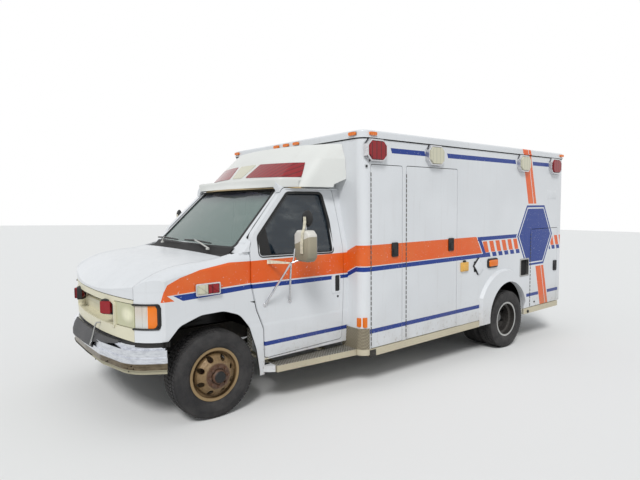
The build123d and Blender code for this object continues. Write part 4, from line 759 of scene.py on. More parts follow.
def lens(name, base, deep, pitch, head=None, cloud=0.22):
    """A moulded lens: ribs under a clear gloss skin. On the nose it also shows the headlamp's reflector as a painted
    reflection, brightest in its middle.
    """
    graph, shader, position, level = new_material(name)
    x, y, z = graph.split(level["Level"])
    cells = graph.calc("PINGPONG", x + y, pitch) / pitch
    shade = graph.mix(graph.ramp(cells, 0.0, 0.35), deep, base)
    if head:
        side = level["Side"]
        nose = x > NOSE_X
        along = (side - HEADLAMP[0]) / HEADLAMP_HALF[0]
        above = (z - HEADLAMP[1]) / HEADLAMP_HALF[1]
        far = graph.calc("SQRT", along * along + above * above)
        # painted reflection: the headlamp's reflector is bright in its middle and fades outwards, with faint darker
        # stripes
        painted_bowl_reflection = graph.mix(graph.ramp(far, 0.25, 1.0), colour(0.93, 0.92, 0.80), colour(0.74, 0.74, 0.60))
        painted_bowl_reflection = graph.mix(graph.ramp(graph.calc("PINGPONG", side, 0.011), 0.0, 0.004) * 0.22, painted_bowl_reflection,
                         colour(0.62, 0.62, 0.50))
        ribs = graph.calc("PINGPONG", side, RIB_PITCH) / RIB_PITCH
        turn = graph.mix(ribs, colour(0.62, 0.55, 0.49), colour(0.92, 0.90, 0.86))
        turn = graph.mix(graph.ramp(z, 0.97, 0.84), turn, colour(0.80, 0.80, 0.78))
        clear = nose * graph.within(side, *TURN_CLEAR)
        shade = graph.mix(nose, shade, painted_bowl_reflection if head == "clear" else base)
        shade = graph.mix(clear, shade, turn)
        cells = graph.mix(nose, cells, ribs * 0.4)
    cloudy = graph.ramp(graph.noise(position, 9, 3), 0.35, 0.75)
    shade = graph.mix(cloudy * cloud, shade, colour(0.75, 0.72, 0.66))
    graph.fill(shader, Base_Color=shade, Roughness=graph.ramp(cloudy, 0, 1, 0.08, 0.26),
               Normal=graph.bump(cells, 0.25, 0.002), Specular_IOR_Level=0.3, Coat_Weight=0.25, Coat_Roughness=0.05,
               IOR=1.5)


def pane_glass(name, tint, alpha, rough=0.03, band=None):
    """Tinted glass that shows some of what is behind it, with dust streaks and a darker band along its top."""
    graph, shader, position, level = new_material(name)
    smear = graph.ramp(graph.noise(graph.stretch(position, (1, 1, 2.5)), 5, 4, 0.6), 0.45, 0.8)
    shade = graph.mix(smear * 0.18, tint, colour(0.55, 0.56, 0.54))
    cover = graph.ramp(smear, 0, 1, alpha, min(1.0, alpha + 0.10))
    if band:
        low, high, tone = band
        top = graph.ramp(level["Z"], low, high)
        shade = graph.mix(top, shade, tone)
        cover = graph.calc("ADD", cover, top * 0.12, clamp=True)
    graph.fill(shader, Base_Color=shade, Roughness=graph.ramp(smear, 0, 1, rough, rough + 0.12), Alpha=cover,
               Specular_IOR_Level=0.7, IOR=1.52)


def rubber_tyre(name):
    """Grey-black tyre rubber, dusty in the grooves, with moulded rings on its side."""
    graph, shader, position, level = new_material(name)
    fine = graph.noise(position, 240, 3, 0.6)
    broad = graph.noise(position, 7, 4, 0.6)
    shade = graph.mix(graph.ramp(broad, 0.3, 0.7), colour(0.10, 0.10, 0.11), colour(0.21, 0.205, 0.205))
    shade = graph.mix(graph.ramp(fine, 0.45, 0.8) * 0.4, shade, colour(0.34, 0.32, 0.29))
    graph.fill(shader, Base_Color=shade, Roughness=graph.ramp(fine, 0.2, 0.8, 0.72, 0.92),
               Normal=graph.bump(fine, 0.3, 0.0008))


def grained(name, base, scale=260, rough=0.5, seam=0.35, sheen=0.0):
    """Vinyl or laminate with an embossed grain."""
    graph, shader, position, level = new_material(name)
    cells = graph.fill(graph.node("ShaderNodeTexVoronoi", feature="DISTANCE_TO_EDGE"), Vector=position, Scale=scale)
    wrinkle = graph.noise(position, 14, 4, 0.6)
    shade = graph.mix(graph.ramp(wrinkle, 0.3, 0.75), base, shaded(base, 0.7))
    height = graph.ramp(cells, 0.0, 0.3) + wrinkle * 0.8
    graph.fill(shader, Base_Color=shade, Roughness=graph.ramp(wrinkle, 0.2, 0.8, rough - 0.1, rough + 0.1),
               Normal=graph.bump(height, seam, 0.0008), Sheen_Weight=sheen)


# The mirror's beige lower part, painted reflection of the ground with painted shade, ends at a line that falls outwards
MIRROR_LINE_Z, MIRROR_LINE_Y, MIRROR_LINE_FALL = (1.449, 1.455), 1.29, -0.35


def mirror_shell(name):
    """The mirror's back: white at the top, below a slanted line beige painted reflection of the ground that darkens
    downwards as painted shade.
    """
    graph, shader, position, level = new_material(name)
    fine = graph.noise(position, 60, 4, 0.6)
    # the slanted line where the white back turns to the beige painted reflection, made ragged with fine noise
    wear_and_reflection_edge = level["Z"] + (level["Side"] - MIRROR_LINE_Y) * MIRROR_LINE_FALL + (fine - 0.5) * 0.012
    # painted shade: the beige painted reflection darkens downwards
    beige = graph.mix(graph.ramp(level["Z"], 1.44, 1.30), colour(0.60, 0.57, 0.49), colour(0.50, 0.48, 0.41))
    shade = graph.mix(graph.ramp(wear_and_reflection_edge, *MIRROR_LINE_Z), beige, colour(0.82, 0.81, 0.78))
    graph.fill(shader, Base_Color=graph.mix(graph.ramp(fine, 0.6, 0.8, 0.0, 0.3), shade, colour(0.40, 0.38, 0.33)),
               Roughness=graph.ramp(fine, 0.2, 0.8, 0.35, 0.55), Normal=graph.bump(fine, 0.08, 0.001))


# name, colour, roughness, dust, height and scale of the grain, other settings
PLAIN_PAINTS = [
    ("Inside Laminate", (0.80, 0.79, 0.76), 0.4, 0.25, 0.05, 300, {"below": 0.70}),
    ("Underbody Black", (0.07, 0.07, 0.07), 0.75, 0.7, 0.3, 60, {}),
    ("Black Rubber", (0.045, 0.045, 0.048), 0.6, 0.25, 0.12, 300, {}),
    ("Grained Plastic", (0.16, 0.155, 0.155), 0.6, 0.2, 0.25, 500, {}),
    ("Dark Gap", (0.02, 0.02, 0.02), 0.9, 0.0, 0.05, 80, {}),
    ("Cowl Plastic", (0.035, 0.035, 0.038), 0.7, 0.12, 0.25, 300, {}),
    ("Old Gasket", (0.66, 0.58, 0.44), 0.7, 0.4, 0.2, 120, {}),
    ("Rail Metal", (0.78, 0.76, 0.68), 0.45, 0.7, 0.1, 40, {"metal": 0.2}),
    ("Mirror Grey", (0.60, 0.58, 0.51), 0.5, 0.4, 0.2, 250, {"reach": 1.6}),
    ("Wiper Grey", (0.66, 0.66, 0.64), 0.5, 0.3, 0.1, 200, {}),
    ("Pad Vinyl", (0.19, 0.19, 0.20), 0.55, 0.5, 0.3, 90, {"Dust": colour(0.42, 0.41, 0.40), "reach": 1.4}),
    ("Yellowed Plastic", (0.80, 0.62, 0.30), 0.5, 0.4, 0.15, 200, {"reach": 1.4}),
    ("Engine Casting", (0.30, 0.29, 0.28), 0.65, 0.9, 0.4, 70, {"metal": 0.4, "reach": 2.0}),
]


def build_materials(settings):
    """Every finish of the vehicle."""
    build_groups()
    for name, base, rough, dust, bump, scale, others in PLAIN_PAINTS:
        plain_paint(name, colour(*base), rough, dust, bump, scale, **others)
    white = (*settings.paint_white, 1.0)
    paint("Box Paint", "Box Livery", base=white)
    paint("Cab Paint", "Cab Livery", base=white, arch=True, Skin_Side=0.962)
    paint("Fender Paint", "Cab Livery", base=white, amount=1.1, arch=True, Skin_Side=0.988)
    paint("Plain White Paint", None, base=white)
    paint("Fairing White", None, base=FAIRING_WHITE, amount=0.7, gloss=0.35)
    paint("Cream Paint", None, base=CREAM, amount=0.9, gloss=0.36)
    mirror_shell("Mirror Shell")
    worn_metal("Bright Plating", colour(0.86, 0.86, 0.87), 0.14, 0.10, dust=0.3)
    worn_metal("Dull Aluminium", colour(0.74, 0.74, 0.73), 0.38, 0.06, brush=(1, 1, 12), dust=0.9)
    worn_metal("Hinge Steel", colour(0.46, 0.46, 0.45), 0.5, 0.12, dust=0.5)
    worn_metal("Tank Steel", colour(0.45, 0.44, 0.43), 0.5, 0.5, metal=0.7, dust=1.0)
    wheel_steel("Front Wheel Steel", (colour(0.52, 0.43, 0.30), colour(0.42, 0.33, 0.22), colour(0.58, 0.49, 0.35)),
                colour(0.34, 0.24, 0.18), colour(0.05, 0.05, 0.05), 0.26, 0.25)
    wheel_steel("Rear Wheel Steel", (colour(0.33, 0.32, 0.31), colour(0.24, 0.23, 0.22), colour(0.72, 0.72, 0.71)),
                colour(0.45, 0.45, 0.45), colour(0.40, 0.40, 0.40), 0.12, 0.7)
    tread_plate("Tread Plate Finish", above=0.343)
    tread_plate("Guard Plate Finish", colour(0.46, 0.43, 0.36), colour(0.66, 0.63, 0.55), 0.5, 0.5, above=0.343)
    bumper_plate("Bumper Finish")
    lens("Red Lens", colour(0.54, 0.0, 0.07), colour(0.32, 0.0, 0.04), 0.030, cloud=0.02)
    lens("Clear Lens", colour(0.78, 0.77, 0.68), colour(0.70, 0.70, 0.62), 0.030, "clear")
    lens("Amber Lens", colour(0.90, 0.46, 0.03), colour(0.74, 0.30, 0.01), 0.012, "amber", 0.08)
    pane_glass("Windshield Glass", colour(0.45, 0.53, 0.51), 0.62, band=(1.76, 1.88, colour(0.22, 0.22, 0.27)))
    pane_glass("Door Glass", colour(0.03, 0.11, 0.16), 0.86)
    pane_glass("Module Glass", colour(0.03, 0.035, 0.04), 0.86)
    rubber_tyre("Tyre Rubber")
    grained("Seat Vinyl", colour(0.27, 0.25, 0.24), 240, 0.48, 0.35, 0.1)
    grained("Bench Vinyl", colour(0.16, 0.22, 0.36), 240, 0.45, 0.35, 0.1)


NODE_FINISHES = {
    "Box Paint": ["side_walls", "end_walls", "module_roof", "locker_door_left_front", "locker_door_left_middle",
                  "locker_door_left_rear",
                  "locker_door_right_rear", "entry_door", "rear_door_left", "rear_door_right"],
    "Cab Paint": ["cab_shell", "cab_door_left", "cab_door_right"],
    "Fender Paint": ["front_fenders", "hood"],
    "Plain White Paint": ["wheel_flares"],
    "Fairing White": ["roof_fairing"],
    "Cream Paint": ["nose_panel"],
    "Bumper Finish": ["front_bumper"],
    "Cowl Plastic": ["cowl"],
    "Windshield Glass": ["windshield"],
    "Door Glass": ["cab_glass_left", "cab_glass_right"],
    "Module Glass": ["entry_glass", "rear_glass_left", "rear_glass_right"],
    "Dull Aluminium": ["locker_boxes"],
    "Guard Plate Finish": ["body_rails"],
    "Tread Plate Finish": ["running_boards", "rear_step"],
    "Red Lens": ["red_lamps"],
    "Clear Lens": ["clear_lamps"],
    "Amber Lens": ["amber_lamps"],
    "Underbody Black": ["chassis_frame", "crossmembers", "front_axle", "rear_axle", "knuckle_left", "knuckle_right"],
    "Tank Steel": ["fuel_tank", "exhaust"],
    "Engine Casting": ["engine_block"],
    "Inside Laminate": ["module_floor", "module_furniture"],
    "Grained Plastic": ["dashboard"],
    "Seat Vinyl": ["cab_seats"],
    "Front Wheel Steel": ["wheel_front_left", "wheel_front_right"],
    "Rear Wheel Steel": ["wheels_rear_left", "wheels_rear_right"],
    "Tyre Rubber": ["tyre_front_left", "tyre_front_right", "tyres_rear_left", "tyres_rear_right"],
    "Black Rubber": ["steering_wheel"],
    "Mirror Grey": ["mirror_left", "mirror_right"],
}


def dress_nodes():
    """Gives each kept solid its finish."""
    for finish, names in NODE_FINISHES.items():
        for name in names:
            node = NODES[name]
            node.data.materials.clear()
            node.data.materials.append(FINISHES[finish])


# Repeats


def repeat_tree():
    """Copies the incoming mesh along two directions and in steps of a turn, as plain mesh."""
    tree = bpy.data.node_groups.new("Repeat Piece", "GeometryNodeTree")
    face = tree.interface
    face.new_socket(name="Geometry", in_out="INPUT", socket_type="NodeSocketGeometry")
    for name, kind, default in (("Count", "NodeSocketInt", 1), ("Spacing", "NodeSocketVector", (0, 0, 0)),
                                ("Turn", "NodeSocketFloat", 0.0),
                                ("Centre", "NodeSocketVector", (0, 0, 0)), ("Finish", "NodeSocketMaterial", None)):
        made = face.new_socket(name=name, in_out="INPUT", socket_type=kind)
        if default is not None:
            made.default_value = default
    face.new_socket(name="Geometry", in_out="OUTPUT", socket_type="NodeSocketGeometry")
    graph = Graph(tree)
    entry, leave = graph.ends()
    index = graph.fill(graph.node("GeometryNodeInputIndex"))
    place = graph.fill(graph.node("ShaderNodeVectorMath", operation="SCALE"), Vector=entry["Spacing"], Scale=index)
    shift = graph.node("ShaderNodeVectorMath", operation="ADD")
    graph.feed(shift.inputs[1], entry["Centre"])
    points = graph.fill(graph.node("GeometryNodePoints"), Count=entry["Count"],
                        Position=graph.fill(shift, Vector=place))
    around = graph.fill(graph.node("ShaderNodeCombineXYZ"), Y=index * entry["Turn"])
    copies = graph.fill(graph.node("GeometryNodeInstanceOnPoints"), Points=points, Instance=entry["Geometry"],
                        Rotation=around)
    real = graph.fill(graph.node("GeometryNodeRealizeInstances"), Geometry=copies)
    graph.fill(leave, Geometry=graph.fill(graph.node("GeometryNodeSetMaterial"), Geometry=real,
                                          Material=entry["Finish"]))
    return tree


def repeated(shape, name, finish, count, body="body", spacing=(0, 0, 0), turn=0.0, centre=(0, 0, 0),
             mirrored=False, place=LEVEL):
    """One piece made of equal copies of a shape, drawn about the origin."""
    piece = shape.piece(name)
    modifier = piece.modifiers.new("Repeat", "NODES")
    tree = bpy.data.node_groups.get("Repeat Piece") or repeat_tree()
    modifier.node_group = tree
    sockets = {item.name: item.identifier for item in tree.interface.items_tree if item.in_out == "INPUT"}
    for key, value in (("Count", count), ("Spacing", spacing), ("Turn", turn), ("Centre", centre),
                       ("Finish", FINISHES[finish])):
        modifier[sockets[key]] = value
    bpy.context.view_layer.update()
    made = bpy.data.meshes.new_from_object(piece.evaluated_get(bpy.context.evaluated_depsgraph_get()))
    piece.modifiers.clear()
    piece.data = made
    return settle(piece, body, mirrored, place, SMOOTH_BELOW)


# Pieces of the vehicle

LEFT_LATCHES = [("left_front_locker", -1.891, 1.298), ("left_middle_locker", -2.816, 1.299),
                ("left_rear_locker", -5.258, 0.864)]
RIGHT_LATCHES = [("side_entry", -2.816, 1.299), ("right_rear_locker", -5.258, 0.864)]


def latch(x, z):
    """A folding paddle latch: frame, dished plate and paddle."""
    outline = round_rect(x - 0.0455, x + 0.0455, z - 0.072, z + 0.072, 0.014)
    inner = round_rect(x - 0.032, x + 0.032, z - 0.056, z + 0.056, 0.010)
    paddle = round_rect(x - 0.026, x + 0.026, z - 0.050, z + 0.012, 0.006)
    shape = Shape().rim(outline, inner, "y", WALL, BOX_SIDE + 0.0125, BOX_SIDE + 0.0125)
    shape.prism(inner, "y", WALL, BOX_SIDE + 0.0104)
    return shape.prism(paddle, "y", BOX_SIDE + 0.009, BOX_SIDE + 0.017, 0.003)


def build_latches():
    for mirrored, rows in ((False, LEFT_LATCHES), (True, RIGHT_LATCHES)):
        for body, x, z in rows:
            latch(x, z).finish("latch_" + body, "wheel_plastic", "Black Rubber", body, mirrored)


# Piano hinges: bottom, top and x of each side door's hinge
LEFT_HINGES = [(-1.557, 0.375, 2.108), (-2.066, 0.375, 2.112), (-4.580, 0.365, 1.375)]
RIGHT_HINGES = [(-2.066, 0.375, 2.112), (-4.580, 0.365, 1.375)]
KNUCKLE_PITCH, KNUCKLE_RADIUS = 0.050, 0.0052


def build_hinges():
    for side, rows in (("left", LEFT_HINGES), ("right", RIGHT_HINGES)):
        for index, (x, low, high) in enumerate(rows):
            knuckle = Shape().lathe(stud(KNUCKLE_RADIUS, 0.034), (0, 0, 0), "z", 10)
            repeated(knuckle, f"hinge_{side}_{index}", "Hinge Steel", int((high - low) / KNUCKLE_PITCH),
                     spacing=(0, 0, KNUCKLE_PITCH), centre=(x, BOX_SIDE + 0.002, low), mirrored=side == "right")
    for side in ("left", "right"):
        knuckle = Shape().lathe(stud(KNUCKLE_RADIUS, 0.043), (0, 0, 0), "z", 10)
        repeated(knuckle, f"hinge_rear_{side}", "Dull Aluminium", 27,
                 spacing=(0, 0, KNUCKLE_PITCH), centre=(BOX_REAR - 0.002, 0.640, 0.745), mirrored=side == "right")


BOX_LAMPS = (-1.606, -2.503, -4.329, -5.168)
LAMP_MIDDLE_Z = 2.269


def lamp_bezel(x):
    """The plated rim round a lamp, open in the middle."""
    def octagon(half_x, half_z, cut):
        return chamfered(x - half_x, x + half_x, LAMP_MIDDLE_Z - half_z, LAMP_MIDDLE_Z + half_z, cut)

    wall, rim = octagon(0.140, 0.1145, 0.056), octagon(0.1305, 0.105, 0.051)
    foot, lip = octagon(0.1215, 0.096, 0.0455), octagon(0.1160, 0.0905, 0.0435)
    back = [((a, WALL, b), (c, BOX_SIDE + 0.043, d)) for (a, b), (c, d) in zip(wall, rim)]
    front = [((a, WALL, b), (c, BOX_SIDE + 0.045, d)) for (a, b), (c, d) in zip(foot, lip)]
    return Shape().band(back, front)


def build_lamp_trim():
    for index, x in enumerate(BOX_LAMPS):
        pair(lambda: lamp_bezel(x), f"lamp_bezel_{index}", "chrome_trim", "Bright Plating", sharp=25)


# Cab window rubbers, laid on the door's curved side
WINDOW = [(-0.440, 1.318), (-1.258, 1.304), (-1.262, 1.600), (-1.225, 1.866), (-0.828, 1.866), (-0.446, 1.480)]
WINDOW_RADII = [0.03, 0.025, 0.3, 0.04, 0.06, 0.06]


def on_cab(outline, low, high):
    """An outline's points at two distances from the cab's curved side."""
    return [((u, cab_side(v) + low, v), (u, cab_side(v) + high, v)) for u, v in outline]


def window_rubber():
    hole = round_off(WINDOW, WINDOW_RADII, 5)
    return Shape().band(on_cab(grown(hole, 0.016), -0.012, 0.003), on_cab(grown(hole, -0.010), -0.026, -0.001))


def window_divider():
    """The black post and quarter panel at the front of the door window."""
    shape = Shape()
    shape.hull(on_cab([(-0.44, 1.315), (-0.566, 1.313), (-0.538, 1.575), (-0.446, 1.482)], -0.020, -0.011))
    return shape


HANDLE_X, HANDLE_Z = -1.2885, 0.987
HANDLE_SIDE = cab_side(HANDLE_Z)
HANDLE_DISH = round_rect(HANDLE_X - 0.044, HANDLE_X + 0.012, HANDLE_Z - 0.069, HANDLE_Z + 0.086, 0.012)
LOCK_Z = 0.866


def door_handle():
    """The pale dished surround of a door's handle."""
    outline = round_rect(HANDLE_X - 0.0545, HANDLE_X + 0.0545, HANDLE_Z - 0.087, HANDLE_Z + 0.087, 0.020)
    return Shape().rim(outline, HANDLE_DISH, "y", HANDLE_SIDE - 0.004, HANDLE_SIDE + 0.004, HANDLE_SIDE + 0.0045)


def door_pull():
    """The dark pull in the surround, and the lock below it."""
    pull = round_rect(HANDLE_X - 0.030, HANDLE_X + 0.006, HANDLE_Z - 0.058, HANDLE_Z + 0.074, 0.008)
    shape = Shape().prism(HANDLE_DISH, "y", HANDLE_SIDE - 0.004, HANDLE_SIDE + 0.0012)
    shape.prism(pull, "y", HANDLE_SIDE, HANDLE_SIDE + 0.009, 0.003)
    return shape.lathe(stud(0.011, 0.004, 0.006, 0.006), (HANDLE_X - 0.024, cab_side(LOCK_Z) - 0.001, LOCK_Z), "y", 20)


def build_door_trim():
    doors = ("left_cab_door", "right_cab_door")
    pair(window_rubber, "window_rubber", "wheel_plastic", "Black Rubber", doors, sharp=50)
    pair(window_divider, "window_post", "wheel_plastic", "Black Rubber", doors)
    pair(door_handle, "handle_surround", "cab_paint", "Plain White Paint", doors)
    pair(door_pull, "handle_pull", "wheel_plastic", "Black Rubber", doors)
    pair(sill_strip, "sill_strip", "bright_trim", "Rail Metal")
    pair(sill_clips, "sill_clips", "wheel_plastic", "Dark Gap")


SILL_CLIPS = (-0.664, -0.811, -0.952, -1.098, -1.250, -1.333)


def sill_strip():
    """The pale flange below a door."""
    return Shape().prism([(-0.487, 0.396), (-0.487, 0.408), (-1.372, 0.429), (-1.387, 0.422), (-1.387, 0.412)], "y",
                         0.968, 0.980, 0.002)


def sill_clips():
    shape = Shape()
    for x in SILL_CLIPS:
        shape.box(x - 0.008, x + 0.008, 0.978, 0.984, 0.400 - 0.018 * (x + 0.487), 0.412 - 0.018 * (x + 0.487), 0.001)
    return shape


# Windshield: the glass slopes back, bowed forward in the middle
SHIELD_FOOT, SHIELD_RISE, SHIELD_RUN = 1.352, 0.550, 0.558


def shield_point(across, up, proud=0.0):
    """A point on the windshield's outer face: sideways distance, share of its height."""
    bow = -0.072 * (across / 0.852) ** 2
    return (-0.178 + bow - SHIELD_RUN * up + proud * 0.71, across, SHIELD_FOOT + SHIELD_RISE * up + proud * 0.70)


def build_windshield_trim():
    """Rubber, joint, drip rails and lip round the windshield."""
    # corners of the opening in the sloping plane, metres up the slope
    slope = math.hypot(SHIELD_RUN, SHIELD_RISE)
    hole = round_off([(-0.838, 0.0), (0.838, 0.0), (0.738, 0.763), (-0.738, 0.763)], [0.06, 0.06, 0.07, 0.07])

    def lay(outline, low, high):
        points = []
        for (u, v), (next_u, next_v) in zip(outline, outline[1:] + outline[:1]):
            steps = max(1, int(math.dist((u, v), (next_u, next_v)) / 0.12))
            for step in range(steps):
                share = step / steps
                across, up = u + (next_u - u) * share, (v + (next_v - v) * share + 0.036) / slope
                points.append((shield_point(across, up, low), shield_point(across, up, high)))
        return points

    shape = Shape().band(lay(grown(hole, 0.006), -0.012, 0.004), lay(grown(hole, -0.028), -0.012, 0.002))
    shape.finish("windshield_rubber", "wheel_plastic", "Black Rubber", sharp=60)
    # the old joint under the fairing's front edge, and the drip rails above the doors
    line = [(-0.945, 0.930), (-0.860, 0.850), (-0.784, 0.700), (-0.735, 0.480), (-0.693, 0.220), (-0.677, 0.0)]
    front = line + [(x, -y) for x, y in reversed(line[:-1])]
    rows = []
    for back, z in ((0.030, 1.9235), (-0.002, 1.9225), (-0.0055, 1.916), (-0.002, 1.9095), (0.030, 1.9095)):
        rows.append([(x - back, y, z) for x, y in front])
    Shape().sheet(rows, 0.002).finish("fairing_joint", "body_paint", "Old Gasket", sharp=60)
    pair(drip_rail_cab, "cab_drip_rail", "body_paint", "Plain White Paint")
    # rolled white lip between that joint and the fairing's face, as (distance from the middle, x)
    half = [(0.0, -0.677), (0.22, -0.690), (0.48, -0.716), (0.66, -0.732), (0.76, -0.740), (0.815, -0.752),
            (0.845, -0.788), (0.868, -0.842), (0.905, -0.930)]
    plan = [(x, y) for y, x in reversed(half)] + [(x, -y) for y, x in half[1:]]
    rows = []
    for z, back in ((2.012, 0.034), (2.005, 0.006), (1.996, 0.0), (1.978, 0.0), (1.958, 0.0), (1.938, 0.0),
                    (1.9245, 0.002), (1.922, 0.020)):
        rows.append([((max(x - 1.025 * (z - 1.924), -0.736) if abs(y) < 0.77 else x) - back, y, z) for x, y in plan])
    Shape().sheet(rows, 0.004).finish("fairing_lip", "body_paint", "Fairing White", sharp=50)
    pair(pillar_skin, "pillar_skin", "body_paint", "Plain White Paint")


# Outer edge of the pillar's skin beside the windshield, as (height, sideways)
PILLAR_EDGE = [(1.430, 0.925), (1.455, 0.900), (1.480, 0.872), (1.527, 0.862), (1.570, 0.845), (1.650, 0.828),
               (1.750, 0.806), (1.850, 0.785), (1.892, 0.776)]


def pillar_skin():
    """White skin between the windshield's rubber and the cab door's frame."""
    rows = []
    for z, outer in PILLAR_EDGE:
        up = (z - SHIELD_FOOT) / SHIELD_RISE
        inner = 0.832 - 0.1 * (up * 0.7836 - 0.036) / 0.763
        rows.append([shield_point(inner + (outer - inner) * share, up, 0.003) for share in (0.0, 0.5, 1.0)])
    return Shape().sheet(rows, 0.004)


def drip_rail_cab():
    """The white rail above a cab door."""
    return Shape().rod([(-0.800, 0.846, 1.9045), (-0.900, 0.862, 1.9065), (-1.436, 0.862, 1.9065)], 0.0065, 8)


# Parked wipers: pivot, elbow, then the blade's two ends
WIPERS = [
    ((-0.148, 0.600, 1.380), (-0.182, 0.270, 1.434), (-0.196, 0.010, 1.425), (-0.200, 0.530, 1.420)),
    ((-0.148, -0.448, 1.388), (-0.165, -0.420, 1.440), (-0.172, -0.620, 1.425), (-0.165, -0.120, 1.425)),
]


def build_wipers():
    """Two parked wipers: pale arms, dark blades."""
    arms, blades = Shape(), Shape()
    for points in WIPERS:
        pivot, elbow, heel, tip = (Vector(point) for point in points)
        arms.lathe(stud(0.017, 0.012, 0.011, 0.020), pivot - Vector((0, 0, 0.012)), "z", 16)
        arms.rod([pivot + Vector((0, 0, 0.004)), pivot.lerp(elbow, 0.5) + Vector((0.004, 0, 0.008)), elbow], 0.0075, 8)
        middle = heel.lerp(tip, 0.5) + Vector((0.012, 0, 0.010))
        blades.rod([heel, middle, tip], 0.0075, 8)
        blades.rod([heel.lerp(tip, -0.03) - Vector((0.012, 0, 0.002)),
                    tip.lerp(heel, -0.03) - Vector((0.012, 0, 0.002))], 0.005, 6)
    arms.finish("wiper_arms", "bright_trim", "Wiper Grey")
    blades.finish("wiper_blades", "wheel_plastic", "Grained Plastic")


def build_side_lamps():
    """Marker lamps with plated rims on the fenders and dark ones over the rear wheels."""
    def fender_rim():
        inner = round_rect(-0.030, 0.164, 1.056, 1.133, 0.008)
        shape = Shape().rim(round_rect(-0.040, 0.174, 1.046, 1.143, 0.012), inner, "y", 0.998, 1.036, 1.038)
        return shape.prism(inner, "y", 0.998, 1.012)

    def fender_lens(low, high):
        return lambda: Shape().prism(round_rect(low, high, 1.057, 1.132, 0.006), "y", 1.004, 1.045, 0.008, 3)

    def wall_rim():
        return Shape().prism(round_rect(-3.762, -3.543, 0.966, 1.082, 0.030), "y", WALL, BOX_SIDE + 0.020, 0.008)

    def wall_lens():
        outline = round_rect(-3.742, -3.563, 0.984, 1.064, 0.020)
        return Shape().prism(outline, "y", BOX_SIDE + 0.010, BOX_SIDE + 0.034, 0.010, 3)

    pair(fender_rim, "fender_lamp_rim", "chrome_trim", "Bright Plating")
    pair(fender_lens(0.070, 0.163), "fender_lamp_clear", "clear_lens", "Clear Lens")
    pair(fender_lens(-0.029, 0.067), "fender_lamp_red", "red_lens", "Red Lens")
    pair(wall_rim, "wall_lamp_rim", "wheel_plastic", "Black Rubber")
    pair(wall_lens, "wall_lamp_lens", "amber_lens", "Amber Lens")


# Flat pieces of the left wall: name, outline, depths from its face, softened edge, slot, finish
WALL_PIECES = [
    ("inlet_tab", round_rect(-3.088, -3.050, 1.076, 1.100, 0.006), -0.001, 0.020, 0.004, "wheel_plastic",
     "Black Rubber"),
    ("outlet_flap", [(-3.262, 1.018), (-3.352, 1.100), (-3.452, 0.975), (-3.360, 0.906)], 0.012, 0.017, 0.002,
     "body_paint", "Plain White Paint"),
    # dark sliver along the hanging flap's front edges: a rubber seal, also painted shadow of the flap on the wall
    ("outlet_seal_and_shadow", [(-3.246, 1.016), (-3.262, 1.036), (-3.350, 1.112), (-3.362, 1.104), (-3.264, 1.014),
                     (-3.340, 0.908), (-3.352, 0.900)],
     -0.001, 0.014, 0.0, "wheel_plastic", "Black Rubber"),
    ("outlet_seat", round_rect(-3.400, -3.270, 0.945, 1.070, 0.01), -0.001, 0.006, 0.0, "wheel_plastic", "Dark Gap"),
    ("blank_plate", round_rect(-5.256, -5.005, 1.815, 1.941, 0.004), -0.001, 0.0025, 0.001, "body_paint",
     "Plain White Paint"),
]
FILLER_HOLE = round_rect(-4.523, -4.329, 0.800, 1.005, 0.016)


def build_side_fittings():
    """Filler recess, inlet cover, hanging flap, blank plate and rubber stops of the left side."""
    outline = round_rect(-4.541, -4.311, 0.782, 1.023, 0.018)
    shape = Shape().rim(outline, FILLER_HOLE, "y", BOX_SIDE - 0.030, BOX_SIDE + 0.004, BOX_SIDE + 0.006)
    shape.finish("filler_frame", "bright_trim", "Dull Aluminium")
    shape = Shape().prism(FILLER_HOLE, "y", BOX_SIDE - 0.0295, BOX_SIDE - 0.0275)
    shape.finish("filler_recess", "wheel_plastic", "Dark Gap")
    shape = Shape().box(-1.615, -1.535, 1.205, 1.232, 0.262, 0.332, 0.004)
    shape.lathe(stud(0.020, 0.010, 0.012, 0.018), (-4.524, 1.222, 0.296), "y", 20)
    shape.finish("rail_blocks", "wheel_plastic", "Black Rubber")
    shape = Shape().prism(round_rect(-3.139, -3.000, 0.972, 1.078, 0.012), "y", WALL, BOX_SIDE + 0.022, 0.006)
    shape.prism(round_rect(-3.115, -3.024, 0.985, 1.050, 0.010), "y", BOX_SIDE + 0.015, BOX_SIDE + 0.030, 0.005)
    shape.finish("inlet_cover", "wheel_plastic", "Yellowed Plastic")
    for name, outline, low, high, edge, slot, finish in WALL_PIECES:
        Shape().prism(outline, "y", BOX_SIDE + low, BOX_SIDE + high, edge).finish(name, slot, finish)
    shape = Shape()
    for x, z in ((-1.500, 2.118), (-4.700, 0.405)):
        shape.lathe([(0.0, 0.0), (0.013, 0.0), (0.012, 0.006), (0.007, 0.011), (0.0, 0.0125)], (x, WALL, z), "y", 20)
    shape.finish("rubber_stops", "wheel_plastic", "Black Rubber")


def build_reflectors():
    """Amber strips on the front corners of the box."""
    def front_strip():
        return Shape().prism(round_rect(1.142, 1.182, 0.568, 0.655, 0.004), "x", BOX_FRONT - 0.020, BOX_FRONT + 0.006)

    def side_strip():
        return Shape().prism(round_rect(-1.506, -1.470, 0.563, 0.659, 0.004), "y", BOX_SIDE - 0.028, BOX_SIDE + 0.002)

    pair(front_strip, "front_reflector", "amber_lens", "Amber Lens")
    pair(side_strip, "side_reflector", "amber_lens", "Amber Lens")


